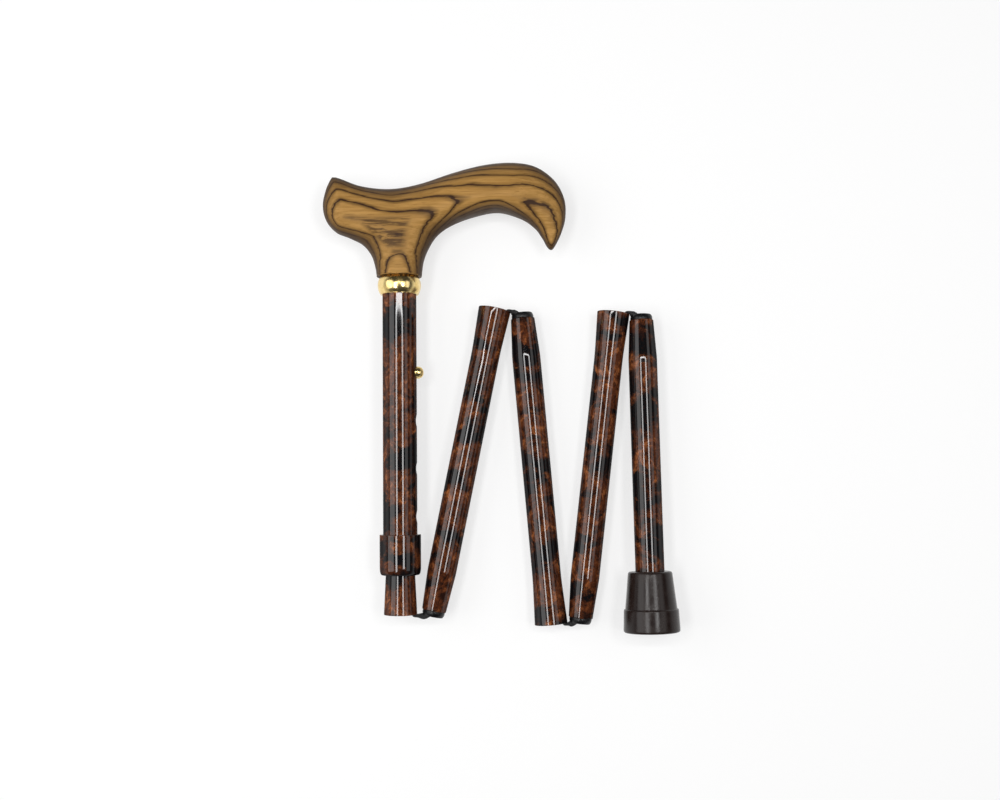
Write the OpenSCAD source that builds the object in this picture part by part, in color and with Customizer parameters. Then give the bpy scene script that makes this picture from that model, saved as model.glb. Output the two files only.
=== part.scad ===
// Folding walking cane with a derby handle, folded in a zigzag and laid on a table.
// Millimetres. X runs to the right, Y towards the handle, Z up from the table.
// Section 1 holds the handle and the adjuster, sections 2 to 5 fold, and section 5 carries the foot.

/* [Handle] */
// Diameter of the handle's neck at its base
neck_d = 24; // [22:0.5:28]
// Height of the handle from its base to the crown
handle_h = 60.9; // [52:0.1:72]
// Reach of the nose to the left of the cane's axis
nose_reach = 40.8; // [34:0.1:48]
// Reach of the beak to the right of the cane's axis
beak_reach = 89.3; // [78:0.1:104]
// Thickness of the handle under the palm
palm_thick = 29.6; // [26:0.2:36]
// Thickness of the handle where the neck meets the grip
crotch_thick = 28; // [25:0.2:34]
// Thickness of the nose
nose_thick = 24; // [20:0.2:28]
// Thickness of the beak near its tip
beak_thick = 13; // [10:0.2:16]

/* [Handle fixing] */
// Height of the brass ring under the handle
ring_h = 9.8; // [7:0.1:13]
// Thickness of the brass ring at its bead
bead_wall = 2.5; // [1.6:0.1:3]
// Thickness of the brass ring at its two lips
lip_wall = 1.1; // [0.6:0.1:1.4]
// Depth of the dowel in the handle
dowel_up = 20; // [14:0.5:24]
// Depth of the dowel in the upper tube, below the ring
dowel_down = 18; // [12:0.5:20]
// Diameter of the handle screw's shank
screw_d = 4; // [3:0.1:5]
// Diameter of the handle screw's head
screw_head_d = 8; // [6.5:0.1:9]
// Length of the handle screw past the dowel
screw_bite = 12; // [8:0.5:14]

/* [Upper tube] */
// Outer diameter of the upper tube
upper_d = 18; // [17:0.1:20]
// Wall of the upper tube
upper_wall = 1.3; // [1:0.1:1.6]
// Distance from the ring to the first adjustment hole
hole_drop = 41.7; // [36:0.1:46]
// Distance between adjustment holes
hole_pitch = 25.4; // [20:0.1:27]
// Number of adjustment holes
hole_count = 4; // [2:1:4]
// Gap all round between the upper tube and the adjuster tube
slide_gap = 0.1; // [0.05:0.01:0.1]

/* [Snap button] */
// Diameter of the snap button
button_d = 6.6; // [5:0.1:8]
// Diameter of the snap button's flat tip
button_tip_d = 3.2; // [2:0.1:4]
// Height of the snap button above the upper tube
button_rise = 3.7; // [2.5:0.1:4.5]
// Gap all round between the snap button and its holes
button_gap = 0.25; // [0.15:0.01:0.4]
// Width of the snap button's leaf spring
leaf_w = 6; // [4:0.2:7]
// Thickness of the leaf spring
leaf_thick = 0.6; // [0.4:0.1:0.8]
// Length of the leaf spring below the button
leaf_len = 18; // [12:0.5:24]

/* [Lock collar] */
// Distance from the ring to the lock collar
collar_drop = 127.2; // [124:0.1:140]
// Length of the lock collar
collar_len = 21; // [19:0.1:26]
// Length of the lock collar's lower lip, below the bush
collar_lip = 4.4; // [3:0.1:6]
// Wall of the lock collar
collar_wall = 0.9; // [0.8:0.1:1.2]
// Running gap all round the lock collar
collar_gap = 0.1; // [0.05:0.01:0.1]
// Wall of the bush round the upper tube
bush_wall = 0.8; // [0.6:0.1:1.2]
// Length of the bush that grips the adjuster, below the upper tube
bush_nose = 3.4; // [2.5:0.1:4]

/* [Folding tubes] */
// Wall of the adjuster and of the folding tubes
tube_wall = 1; // [0.8:0.1:1.2]
// Plain length of the adjuster between the bush and its flared mouth
adjuster_plain = 2; // [1.2:0.1:12]
// Length of the adjuster tube above the button
adjuster_over = 13; // [9:0.5:16]
// Length of sections 2, 3 and 4 from plug face to mouth
section_len = 166.4; // [140:0.1:190]
// Length of section 5 from plug face to the foot's base
last_len = 168; // [140:0.1:190]
// Length of the tapered spigot
spigot_len = 20.5; // [16:0.5:26]
// Amount that the spigot's radius shrinks towards its tip
spigot_shrink = 1.25; // [0.9:0.05:1.6]
// Length of the spigot's taper that stays outside its socket
taper_out = 4.2; // [3.6:0.1:6]
// Length of the flare at a tube's mouth
flare_len = 23; // [20:0.5:26]
// Wall of the flared mouth at its rim
mouth_wall = 1.2; // [1:0.05:1.4]
// Gap all round between a seated spigot and its socket
socket_gap = 0.15; // [0.1:0.01:0.25]

/* [End plugs and cord] */
// Amount that the end plug's head is smaller, all round, than the spigot's tip
plug_inset = 0.45; // [0.2:0.05:0.8]
// Length of the end plug's head outside the tube
plug_head = 3.1; // [3:0.1:5]
// Length of the end plug inside the tube
plug_stem = 12; // [8:0.5:16]
// Diameter of the elastic cord
cord_d = 3; // [2.4:0.1:3.4]
// Gap all round between the cord and its holes
cord_gap = 0.4; // [0.3:0.05:0.6]
// Diameter of the knots at the cord's ends
knot_d = 7; // [6:0.1:9]
// Length of the cord anchors
anchor_len = 8; // [6:0.5:12]
// Room between the leaf spring and the top knot
knot_room = 10; // [4:0.5:16]

/* [Foot] */
// Diameter of the foot at its base
foot_d = 29.7; // [27:0.1:34]
// Height of the foot
foot_h = 31.6; // [28:0.1:38]
// Height of the foot's base band
band_h = 12; // [9:0.1:14]
// Diameter of the foot just above the base band
waist_d = 27.2; // [24:0.1:28]
// Diameter of the foot at its top
foot_top_d = 23; // [20:0.1:26]
// Thickness of rubber under the washer
tread_h = 6; // [5:0.1:8]
// Thickness of the steel washer in the foot
washer_h = 1.6; // [1:0.1:2.5]

/* [Folds] */
// Angle between sections 1 and 2
fold_1 = 11.9; // [10:0.1:16]
// Angle between sections 2 and 3
fold_2 = 16.5; // [12:0.1:20]
// Angle between sections 3 and 4
fold_3 = 11.7; // [9:0.1:15]
// Angle between sections 4 and 5
fold_4 = 7.9; // [7:0.1:12]
// Sideways gap between the lock collar and the plug at fold 1
gap_1 = 0.1; // [0.1:0.1:1.5]
// Sideways gap between the mouth and the plug at fold 2
gap_2 = 0.3; // [0.2:0.1:2]
// Sideways gap between the mouth and the plug at fold 3
gap_3 = 0.6; // [0.2:0.1:2]
// Sideways gap between the mouth and the plug at fold 4
gap_4 = 0.3; // [0.2:0.1:2]

/* [Hidden] */
// Clearance all round of pieces that are glued or pressed together
glue_gap = 0.05;
// Distance that the plugs at folds 1 to 4 stand past the mouth beside them
rises = [1.4, 1.2, 1.1, 0.3];
// Distance that a straightened section stands off the mouth before it is pushed in
draw_gap = 0.4;
// Room between a seated plug's face and the end of the cord inside the socket
cord_room = 1.7;
// Depth, from the plug's face, at which the bend hands over to the straight cord
bend_dive = 7;
// Width of the rim round the plug's bell mouth, and the bell's depth
bell_rim = 1.3;
bell_depth = 5.5;
// Small edge rounding
edge_r = 1;

folds = [fold_1, fold_2, fold_3, fold_4];

upper_r = upper_d / 2;
upper_in_r = upper_r - upper_wall;
tube_r = upper_in_r - slide_gap;
tube_in_r = tube_r - tube_wall;
spigot_tip_r = tube_r - spigot_shrink;
taper = spigot_shrink / spigot_len;
socket_r = tube_r - taper * taper_out + socket_gap;
mouth_r = socket_r + mouth_wall;
socket_len = (socket_r - tube_in_r) / taper;
insert_len = plug_head + spigot_len - taper_out;
cord_r = cord_d / 2;
cord_hole_r = cord_r + cord_gap;
cord_stop = insert_len + cord_room;
plug_r = spigot_tip_r - plug_inset;
bell_r = plug_r - bell_rim;
foot_r = foot_d / 2;
neck_r = neck_d / 2;

bush_in_r = upper_r + glue_gap;
bush_r = bush_in_r + bush_wall;
collar_in_r = bush_r + collar_gap;
collar_r = collar_in_r + collar_wall;
collar_end = collar_drop + collar_len;
bush_end = collar_end - collar_lip;
upper_len = bush_end - bush_nose;
adjuster_drop = bush_end + adjuster_plain + flare_len;

// Distance from a mouth's axis to the plug beside it, at folds 1 to 4
asides = [collar_r + gap_1 + plug_r, for (gap = [gap_2, gap_3, gap_4]) mouth_r + gap + plug_r];

lacquer = [0.42, 0.24, 0.15];
wood = [0.69, 0.53, 0.28];
brass = [0.80, 0.66, 0.30];
black = [0.09, 0.09, 0.10];
rubber = [0.16, 0.12, 0.11];
steel = [0.70, 0.70, 0.72];

$fn = 96;

// A smooth curve through the points p, at parameter w that counts the points
function curve_at(p, w) =
    let (i = min(floor(w), len(p) - 2), t = w - i,
        a = p[max(i - 1, 0)], b = p[i], c = p[i + 1], d = p[min(i + 2, len(p) - 1)])
    (2 * b + (c - a) * t + (2 * a - 5 * b + 4 * c - d) * t * t + (3 * b - a - 3 * c + d) * t * t * t) / 2;

// The handle's outline from the left of the neck, round the nose, crown and beak, to the right of the neck
outline = [
    [-neck_r, 0], [-1.06 * neck_r, 0.08 * handle_h], [-1.24 * neck_r, 0.19 * handle_h],
    [-1.63 * neck_r, 0.285 * handle_h], [-0.66 * nose_reach, 0.35 * handle_h],
    [-0.83 * nose_reach, 0.4 * handle_h], [-0.955 * nose_reach, 0.5 * handle_h],
    [-nose_reach, 0.635 * handle_h], [-0.96 * nose_reach, 0.775 * handle_h],
    [-0.89 * nose_reach, 0.877 * handle_h], [-0.848 * nose_reach, 0.888 * handle_h],
    [-0.77 * nose_reach, 0.875 * handle_h], [-0.49 * nose_reach, 0.805 * handle_h],
    [-0.12 * nose_reach, 0.778 * handle_h], [0.118 * beak_reach, 0.816 * handle_h],
    [0.336 * beak_reach, 0.918 * handle_h], [0.515 * beak_reach, 0.982 * handle_h],
    [0.683 * beak_reach, handle_h], [0.823 * beak_reach, 0.962 * handle_h],
    [0.935 * beak_reach, 0.84 * handle_h], [0.992 * beak_reach, 0.68 * handle_h],
    [0.999 * beak_reach, 0.517 * handle_h], [0.974 * beak_reach, 0.378 * handle_h],
    [0.936 * beak_reach, 0.263 * handle_h], [0.912 * beak_reach, 0.225 * handle_h],
    [0.887 * beak_reach, 0.25 * handle_h], [0.858 * beak_reach, 0.328 * handle_h],
    [0.812 * beak_reach, 0.422 * handle_h], [0.728 * beak_reach, 0.51 * handle_h],
    [0.588 * beak_reach, 0.571 * handle_h], [0.448 * beak_reach, 0.532 * handle_h],
    [0.314 * beak_reach, 0.456 * handle_h], [1.71 * neck_r, 0.363 * handle_h],
    [1.325 * neck_r, 0.25 * handle_h], [1.09 * neck_r, 0.13 * handle_h], [neck_r, 0]];

// Spines of the neck, nose and grip: place in the outline's plane and half thickness there
crotch = [0.02 * beak_reach, 0.42 * handle_h, crotch_thick / 2];
neck_spine = [[0, 0, neck_r], crotch];
nose_spine = [crotch, [-0.66 * nose_reach, 0.53 * handle_h, nose_thick / 2]];
grip_spine = [crotch, [0.38 * beak_reach, 0.67 * handle_h, palm_thick / 2],
    [0.655 * beak_reach, 0.7 * handle_h, palm_thick / 2],
    [0.85 * beak_reach, 0.55 * handle_h, (palm_thick + beak_thick) / 4],
    [0.91 * beak_reach, 0.36 * handle_h, beak_thick / 2]];

// Ribs along the neck, the nose and the grip, round the nose's end and round the beak
neck_n = 8;
nose_n = 8;
nose_turn_n = 14;
grip_n = 30;
beak_turn_n = 10;
rib_steps = 6;

// A spine's points, the number of its first point and how many steps it has
nose_end_id = neck_n + nose_n;
neck_line = [neck_spine, 0, neck_n];
nose_line = [nose_spine, neck_n, nose_n];
grip_line = [grip_spine, nose_end_id, grip_n];
function on_line(line, v) = curve_at(line[0], v * (len(line[0]) - 1));
function line_id(line, v) = v == 0 && line[1] > 0 ? neck_n : line[1] + round(v * line[2]);

// One stretch of ribs: outline point, spine point and number of the spine point
function stretch(w0, w1, line, v0, v1, n, last = 0) =
    [for (i = [0:n - 1 + last])
        let (u = i / n, v = v0 + (v1 - v0) * u)
        [curve_at(outline, w0 + (w1 - w0) * u), on_line(line, v), line_id(line, v)]];

ribs = concat(
    stretch(0, 3, neck_line, 0, 1, neck_n),
    stretch(3, 5, nose_line, 0, 1, nose_n),
    stretch(5, 11, nose_line, 1, 1, nose_turn_n),
    stretch(11, 13, nose_line, 1, 0, nose_n),
    stretch(13, 22, grip_line, 0, 1, grip_n),
    stretch(22, 26, grip_line, 1, 1, beak_turn_n),
    stretch(26, 32, grip_line, 1, 0, grip_n),
    stretch(32, 35, neck_line, 1, 0, neck_n, 1));
rib_n = len(ribs);

// Height of section 1's axis above the table: the handle lies on it
axis_h = max([for (r = ribs) r[1].z]);

// Rib r at angle b from the outline up to the spine, as an ellipse's quarter
function rib_point(r, b) =
    let (flat = [r[1].x, r[1].y] + (r[0] - [r[1].x, r[1].y]) * cos(b)) [flat.x, flat.y, r[1].z * sin(b)];

// Spine points in the order of their numbers
spine_pts = concat(
    [for (i = [0:neck_n]) on_line(neck_line, i / neck_n)],
    [for (i = [1:nose_n]) on_line(nose_line, i / nose_n)],
    [for (i = [1:grip_n]) on_line(grip_line, i / grip_n)]);
spine_n = len(spine_pts);

handle_pts = concat(
    [for (j = [0:rib_steps - 1], r = ribs) rib_point(r, 90 * j / rib_steps)],
    [for (j = [1:rib_steps - 1], r = ribs) rib_point(r, -90 * j / rib_steps)],
    [for (s = [1, -1], p = spine_pts) [p.x, p.y, s * p.z]],
    [[0, 0, 0]]);

// Number of the point at rib i and step j on the upper (s = 0) or lower (s = 1) side
function pt(s, j, i) =
    j == rib_steps ? (2 * rib_steps - 1) * rib_n + s * spine_n + ribs[i][2]
    : s == 0 || j == 0 ? j * rib_n + i
    : (rib_steps - 1 + j) * rib_n + i;
function turned(s, f) = s == 0 ? f : [f[2], f[1], f[0]];
function two_faces(s, j, i) =
    let (a = pt(s, j, i), b = pt(s, j, i + 1), c = pt(s, j + 1, i + 1), d = pt(s, j + 1, i))
    c == d ? [turned(s, [a, b, c])] : [turned(s, [a, b, c]), turned(s, [a, c, d])];
base_ring = concat(
    [for (j = [0:rib_steps]) pt(0, j, 0)], [for (j = [rib_steps - 1:-1:0]) pt(0, j, rib_n - 1)],
    [for (j = [1:rib_steps]) pt(1, j, rib_n - 1)], [for (j = [rib_steps - 1:-1:1]) pt(1, j, 0)]);
handle_faces = concat(
    [for (s = [0, 1], j = [0:rib_steps - 1], i = [0:rib_n - 2], f = two_faces(s, j, i)) f],
    [for (i = [0:len(base_ring) - 1])
        [base_ring[i], base_ring[(i + 1) % len(base_ring)], len(handle_pts) - 1]]);

// Places of the folded sections, each leaning back beside the one before it and down on to the table.
// A place is the plug's face, the direction along the section, the way it leans, and its far end.
function unit(v) = v / norm(v);
function level_side(a) = sign(a.y) * unit([a.y, -a.x, 0]);
function steep_side(a) = sign(a.y) * cross(level_side(a), a);
function next_place(p, k, length, rest_at, rest_r) =
    let (a = p[1], mouth = p[3], angle = folds[k], aside = asides[k],
        drop = rest_r - mouth.z - (rises[k] - rest_at * cos(angle)) * a.z,
        roll = asin(drop / ((aside + rest_at * sin(angle)) * steep_side(a).z)),
        lean = level_side(a) * cos(roll) + steep_side(a) * sin(roll),
        along = lean * sin(angle) - a * cos(angle),
        face = mouth + rises[k] * a + aside * lean)
    [face, along, lean, face + length * along];
place_1 = [[0, 0, axis_h], [0, -1, 0], [1, 0, 0], [0, -adjuster_drop, axis_h]];
place_2 = next_place(place_1, 0, section_len, section_len, mouth_r);
place_3 = next_place(place_2, 1, section_len, section_len, mouth_r);
place_4 = next_place(place_3, 2, section_len, section_len, mouth_r);
place_5 = next_place(place_4, 3, last_len, last_len - band_h, foot_r);
places = [undef, place_1, place_2, place_3, place_4, place_5];

// The middle of everything, which becomes the origin
function rim_reach(c, along, r, way) = c * way + r * norm(cross(along, way));
foot_right = rim_reach(place_5[3], place_5[1], foot_r, [1, 0, 0]);
foot_low = rim_reach(place_5[3], place_5[1], foot_r, [0, -1, 0]);
mouth_low = rim_reach(place_3[3], place_3[1], mouth_r, [0, -1, 0]);
left = min([for (r = ribs) r[0].x]);
right = max(foot_right, max([for (r = ribs) r[0].x]));
near = -max(foot_low, mouth_low);
far = ring_h + max([for (r = ribs) r[0].y]);
middle = [(left + right) / 2, (near + far) / 2, 0];

// The joint between sections k and k + 1: the point on the rim that the cord turns over, the axis that
// it turns about, and the way that the straightened spigot is pushed in
function fold_pivot(k) =
    let (half = tan(folds[k - 1] / 2) / 2, aside = asides[k - 1], rise = rises[k - 1])
    places[k][3] - middle + places[k][1] * ((rise + draw_gap) / 2 - aside * half)
        + places[k + 1][2] * (aside / 2 - (draw_gap - rise) * half);
function fold_axis(k) = unit(cross(places[k + 1][1], places[k][1]));
for (k = [1:4])
    echo(fold = k, pivot = fold_pivot(k), axis = fold_axis(k), turn = 180 - folds[k - 1],
        push = -places[k][1], depth = insert_len + draw_gap);

// Section 1's own frame: z runs down the cane from the underside of the ring
module on_upper() {
    translate([0, 0, axis_h] - middle) rotate([90, 0, 0]) children();
}

// Section k's own frame: z runs from the plug's face to the far end
module on_section(k) {
    z = places[k][1];
    x = level_side(z);
    y = cross(z, x);
    o = places[k][0] - middle;
    multmatrix([[x.x, y.x, z.x, o.x], [x.y, y.y, z.y, o.y], [x.z, y.z, z.z, o.z], [0, 0, 0, 1]]) children();
}

function arc(centre, r, a0, a1, n = 6) =
    [for (i = [0:n]) centre + r * [cos(a0 + (a1 - a0) * i / n), sin(a0 + (a1 - a0) * i / n)]];

module turned_solid(profile) {
    rotate_extrude() polygon(profile);
}

module rod(r, z0, z1) {
    translate([0, 0, z0]) cylinder(r = r, h = z1 - z0);
}

module pipe(r, in_r, z0, z1) {
    turned_solid([[in_r, z0], [r, z0], [r, z1], [in_r, z1]]);
}

// Outer and inner profiles of a flared socket whose mouth is at z = m
function socket_outside(m) = [[tube_r, m - flare_len], [mouth_r, m]];
function socket_inside(m) = [[socket_r, m], [tube_in_r, m - socket_len]];

// Outer and inner profiles of a tapered spigot whose plug face is at z = 0
spigot_outside = [[spigot_tip_r, plug_head], [tube_r, plug_head + spigot_len]];
spigot_inside = [[tube_in_r, plug_head + spigot_len], [spigot_tip_r - tube_wall, plug_head]];

// Handle and its fixing

dowel_r = upper_in_r - glue_gap;
screw_hole_r = screw_d / 2 + glue_gap;
screw_top = -ring_h - dowel_up - screw_bite;
screw_head_h = (screw_head_d - screw_d) / 2;
screw_tip_h = screw_d;
recess_w = 1.2;
recess_depth = 1.6;

module handle() {
    color(wood) difference() {
        translate([0, ring_h, axis_h] - middle)
            polyhedron(points = handle_pts, faces = handle_faces, convexity = 8);
        on_upper() {
            rod(upper_in_r, -ring_h - dowel_up - glue_gap, -ring_h + edge_r);
            rod(screw_hole_r, screw_top - glue_gap, -ring_h);
        }
    }
}

module handle_dowel() {
    color(wood) on_upper() turned_solid([
        [screw_hole_r, -ring_h - dowel_up], [dowel_r - edge_r, -ring_h - dowel_up],
        [dowel_r, -ring_h - dowel_up + edge_r], [dowel_r, dowel_down],
        [screw_head_d / 2 + glue_gap, dowel_down],
        [screw_hole_r, dowel_down - screw_head_h]]);
}

module handle_screw() {
    color(steel) on_upper() difference() {
        turned_solid([
            [0, screw_top], [screw_d / 2, screw_top + screw_tip_h], [screw_d / 2, dowel_down - screw_head_h],
            [screw_head_d / 2, dowel_down], [0, dowel_down]]);
        for (turn = [0, 90])
            rotate([0, 0, turn])
                translate([-screw_head_d / 4, -recess_w / 2, dowel_down - recess_depth])
                    cube([screw_head_d / 2, recess_w, recess_depth + edge_r]);
    }
}

ring_lip_h = 0.9;
ring_in_r = upper_r + glue_gap;
ring_lip_r = ring_in_r + lip_wall;
ring_r = ring_in_r + bead_wall;
bead_half = ring_h / 2 - ring_lip_h;
bead_sag = ring_r - ring_lip_r;
bead_r = (bead_half * bead_half + bead_sag * bead_sag) / (2 * bead_sag);
bead_angle = asin(bead_half / bead_r);

module neck_ring() {
    color(brass) on_upper() turned_solid(concat(
        [[ring_in_r, -ring_h], [ring_lip_r, -ring_h]],
        arc([ring_r - bead_r, -ring_h / 2], bead_r, -bead_angle, bead_angle, 12),
        [[ring_lip_r, 0], [ring_in_r, 0]]));
}

// Upper tube, adjuster and lock

hole_r = button_d / 2 + button_gap;
top_lip = 3.2;
collar_float = 0.3;
bush_top = collar_drop + top_lip + collar_float;
slit_w = 1.2;
slit_n = 4;
collar_mouth_r = tube_r + 2 * collar_float;
collar_round = 2.8;
adjuster_top = hole_drop - adjuster_over;

module upper_tube() {
    color(lacquer) on_upper() difference() {
        pipe(upper_r, upper_in_r, -ring_h, upper_len);
        for (i = [0:hole_count - 1])
            translate([0, 0, hole_drop + i * hole_pitch]) rotate([0, 90, 0]) rod(hole_r, 0, upper_d);
    }
}

module lock_bush() {
    color(black) on_upper() difference() {
        turned_solid([
            [bush_in_r, bush_top], [bush_r, bush_top], [bush_r, bush_end],
            [upper_in_r, bush_end], [upper_in_r, upper_len], [bush_in_r, upper_len]]);
        for (i = [0:slit_n - 1])
            rotate([0, 0, 45 + i * 360 / slit_n])
                translate([tube_r / 2, -slit_w / 2, upper_len])
                    cube([upper_d, slit_w, bush_nose + edge_r]);
    }
}

module lock_collar() {
    color(lacquer) on_upper() turned_solid(concat(
        [[upper_r + collar_gap, collar_drop], [collar_r, collar_drop]],
        arc([collar_r - collar_round, collar_end - collar_round], collar_round, 0, 90),
        [[collar_mouth_r, collar_end], [collar_mouth_r, bush_end + collar_float],
            [collar_in_r, bush_end + collar_float], [collar_in_r, collar_drop + top_lip],
            [upper_r + collar_gap, collar_drop + top_lip]]));
}

module adjuster_tube() {
    color(lacquer) on_upper() difference() {
        turned_solid(concat(
            [[tube_r, adjuster_top]], socket_outside(adjuster_drop), socket_inside(adjuster_drop),
            [[tube_in_r, adjuster_top]]));
        translate([0, 0, hole_drop]) rotate([0, 90, 0]) rod(hole_r, 0, upper_d);
    }
}

// Leaf spring folded into a narrow V, with the button drawn out of its right leg
leaf_room = 0.2;
leaf_reach = sqrt(tube_in_r * tube_in_r - leaf_w * leaf_w / 4) - leaf_room;
leaf_over = 4.5;
leaf_bend_r = 2;
button_round = 0.5;

module leaf_outline(inset) {
    hull() {
        translate([0, leaf_len]) circle(r = leaf_bend_r - inset);
        translate([inset - leaf_reach, -leaf_over]) square([2 * (leaf_reach - inset), leaf_thick]);
    }
}

module snap_button() {
    tip = upper_r + button_rise;
    color(brass) on_upper() translate([0, 0, hole_drop]) {
        rotate([90, 0, 0]) linear_extrude(height = leaf_w, center = true) difference() {
            leaf_outline(0);
            leaf_outline(leaf_thick);
            translate([leaf_thick - leaf_reach, -leaf_over - leaf_thick])
                square([2 * (leaf_reach - leaf_thick), 3 * leaf_thick]);
        }
        rotate([0, 90, 0]) turned_solid([
            [0, leaf_reach - 2 * leaf_thick], [button_d / 2, leaf_reach - 2 * leaf_thick],
            [button_d / 2, upper_r + button_round], [button_tip_d / 2 + button_round, tip - button_round],
            [button_tip_d / 2, tip], [0, tip]]);
    }
}

// Cord anchors and knots

knot_len = 6;
anchor_drop = hole_drop + leaf_len + leaf_bend_r + knot_room + knot_len;
last_tube_end = last_len - tread_h - washer_h;
bottom_anchor_at = last_len - foot_h - anchor_len;

module anchor(z0) {
    pipe(tube_in_r - glue_gap, cord_hole_r, z0, z0 + anchor_len);
}

// A knot at z0 whose flat seat faces the anchor
module knot(z0) {
    seat_r = cord_hole_r + (knot_d / 2 - cord_hole_r) / 2;
    turned_solid([
        [0, z0], [seat_r, z0], [knot_d / 2, z0 + knot_len / 3], [knot_d / 2, z0 + knot_len * 2 / 3],
        [seat_r, z0 + knot_len], [0, z0 + knot_len]]);
}

module top_anchor() {
    color(black) on_upper() anchor(anchor_drop);
}

module top_knot() {
    color(black) on_upper() knot(anchor_drop - knot_len);
}

module bottom_anchor() {
    color(black) on_section(5) anchor(bottom_anchor_at);
}

module bottom_knot() {
    color(black) on_section(5) knot(bottom_anchor_at + anchor_len);
}

// Folding tubes, end plugs and cord

module folding_tube(k) {
    color(lacquer) on_section(k) turned_solid(concat(
        spigot_outside, socket_outside(section_len), socket_inside(section_len), spigot_inside));
}

module last_tube() {
    color(lacquer) on_section(5) turned_solid(concat(
        spigot_outside, [[tube_r, last_tube_end], [tube_in_r, last_tube_end]], spigot_inside));
}

module end_plug(k) {
    stem_r = spigot_tip_r - tube_wall - glue_gap;
    color(black) on_section(k) turned_solid(concat(
        [[bell_r, 0]], arc([plug_r - edge_r, edge_r], edge_r, -90, 0),
        [[plug_r, plug_head], [stem_r, plug_head], [stem_r, plug_head + plug_stem],
            [cord_hole_r, plug_head + plug_stem], [cord_hole_r, bell_depth]]));
}

// Straight cord inside section k, from its knot or bend to its bend or knot
module straight_cord(k) {
    color(black) {
        if (k == 1) on_upper() rod(cord_r, anchor_drop, adjuster_drop - cord_stop);
        else on_section(k)
            rod(cord_r, bend_dive, k == 5 ? bottom_anchor_at + anchor_len : section_len - cord_stop);
    }
}

// Route of the cord over the rim at the fold after section k, in the plane of the two sections, and the
// share of its thickness that each point of the route keeps where the cord is pressed flat
rim_room = 0.3;
rim_flat = 0.5;
bend_aside = 2.3;
bend_lead = 3;
seat_depth = 5;
function bend_route(k) =
    let (mouth = places[k][3], out = places[k][1], lean = places[k + 1][2], in = places[k + 1][1],
        face = places[k + 1][0], toward = unit(in * (in * out) - out),
        over = rim_flat * cord_r + rim_room, wall_at = socket_r - over)
    [mouth - cord_stop * out, mouth - (cord_stop - bend_lead) * out + 0.03 * wall_at * lean,
        mouth - cord_stop / 2 * out + 0.45 * wall_at * lean,
        mouth - seat_depth * out + 0.85 * wall_at * lean, mouth + wall_at * lean,
        mouth + over * out + (socket_r - rim_room) * lean, mouth + over * out + (mouth_r + rim_room) * lean,
        face + bell_r * toward - (over + rim_room) * in,
        face + bend_aside * toward + rim_room * in,
        face + 0.3 * bend_aside * toward + 0.75 * bell_depth * in, face + bend_dive * in];
bend_flats = [1, 1, 1, 0.8, 0.55, rim_flat, rim_flat, 0.52, 0.6, 1, 1];

bend_sides = 8;
bend_fine = 3;

module cord_bend(k) {
    route = bend_route(k);
    n = (len(route) - 1) * bend_fine;
    across = unit(cross(places[k][1], places[k + 1][2]));
    points = [for (i = [0:n]) curve_at(route, i / bend_fine)];
    rings = [for (i = [0:n])
        let (ahead = i == 0 ? places[k][1] : i == n ? places[k + 1][1]
                : unit(points[i + 1] - points[i - 1]),
            side = cross(across, ahead), flat = curve_at(bend_flats, i / bend_fine))
        for (j = [0:bend_sides - 1])
            let (turn = 360 * j / bend_sides)
            points[i] + cord_r * (flat * cos(turn) * side + sin(turn) / sqrt(flat) * across)];
    function ring_pt(i, j) = i * bend_sides + j % bend_sides;
    walls = [for (i = [0:n - 1], j = [0:bend_sides - 1])
        each [[ring_pt(i, j), ring_pt(i, j + 1), ring_pt(i + 1, j + 1)],
            [ring_pt(i, j), ring_pt(i + 1, j + 1), ring_pt(i + 1, j)]]];
    start = [for (j = [bend_sides - 1:-1:0]) ring_pt(0, j)];
    stop = [for (j = [0:bend_sides - 1]) ring_pt(n, j)];
    color(black) translate(-middle) polyhedron(points = rings, faces = concat(walls, [start, stop]));
}

// Foot

groove_n = 3;
groove_w = 1.6;
groove_depth = 1.2;
band_taper = 0.5;

module foot() {
    bore_r = tube_r + glue_gap;
    base = last_len;
    band = last_len - band_h;
    top = last_len - foot_h;
    color(rubber) on_section(5) difference() {
        turned_solid(concat(
            [[bore_r, top]],
            arc([foot_top_d / 2 - edge_r, top + edge_r], edge_r, -90, 0),
            [[waist_d / 2, band]],
            arc([foot_r - band_taper - edge_r, band + edge_r], edge_r, -90, 0),
            arc([foot_r - edge_r, base - edge_r], edge_r, 0, 90),
            [[0, base], [0, last_tube_end + washer_h], [bore_r, last_tube_end + washer_h]]));
        for (i = [1:groove_n])
            pipe(i * foot_r / (groove_n + 1) + groove_w / 2, i * foot_r / (groove_n + 1) - groove_w / 2,
                base - groove_depth, base + edge_r);
    }
}

module foot_washer() {
    color(steel) on_section(5) rod(tube_r, last_tube_end, last_tube_end + washer_h);
}

handle();
handle_dowel();
handle_screw();
neck_ring();
upper_tube();
lock_bush();
lock_collar();
adjuster_tube();
snap_button();
top_anchor();
top_knot();
last_tube();  // tube_5
bottom_anchor();
bottom_knot();
foot();
foot_washer();
for (k = [2:4]) folding_tube(k);
for (k = [2:5]) end_plug(k);
for (k = [1:5]) straight_cord(k);
for (k = [1:4]) cord_bend(k);
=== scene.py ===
# %% [markdown]
# # A folding walking cane
# The cane lies on a table, folded in a zigzag: a wooden handle on an upper tube, an adjuster that
# slides in it, and four more sections that plug into each other on one elastic cord. The packed
# solids give every size and place. This lesson builds a finer surface round each solid and gives
# it its finish.

# %% Load the frame
import math

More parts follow.
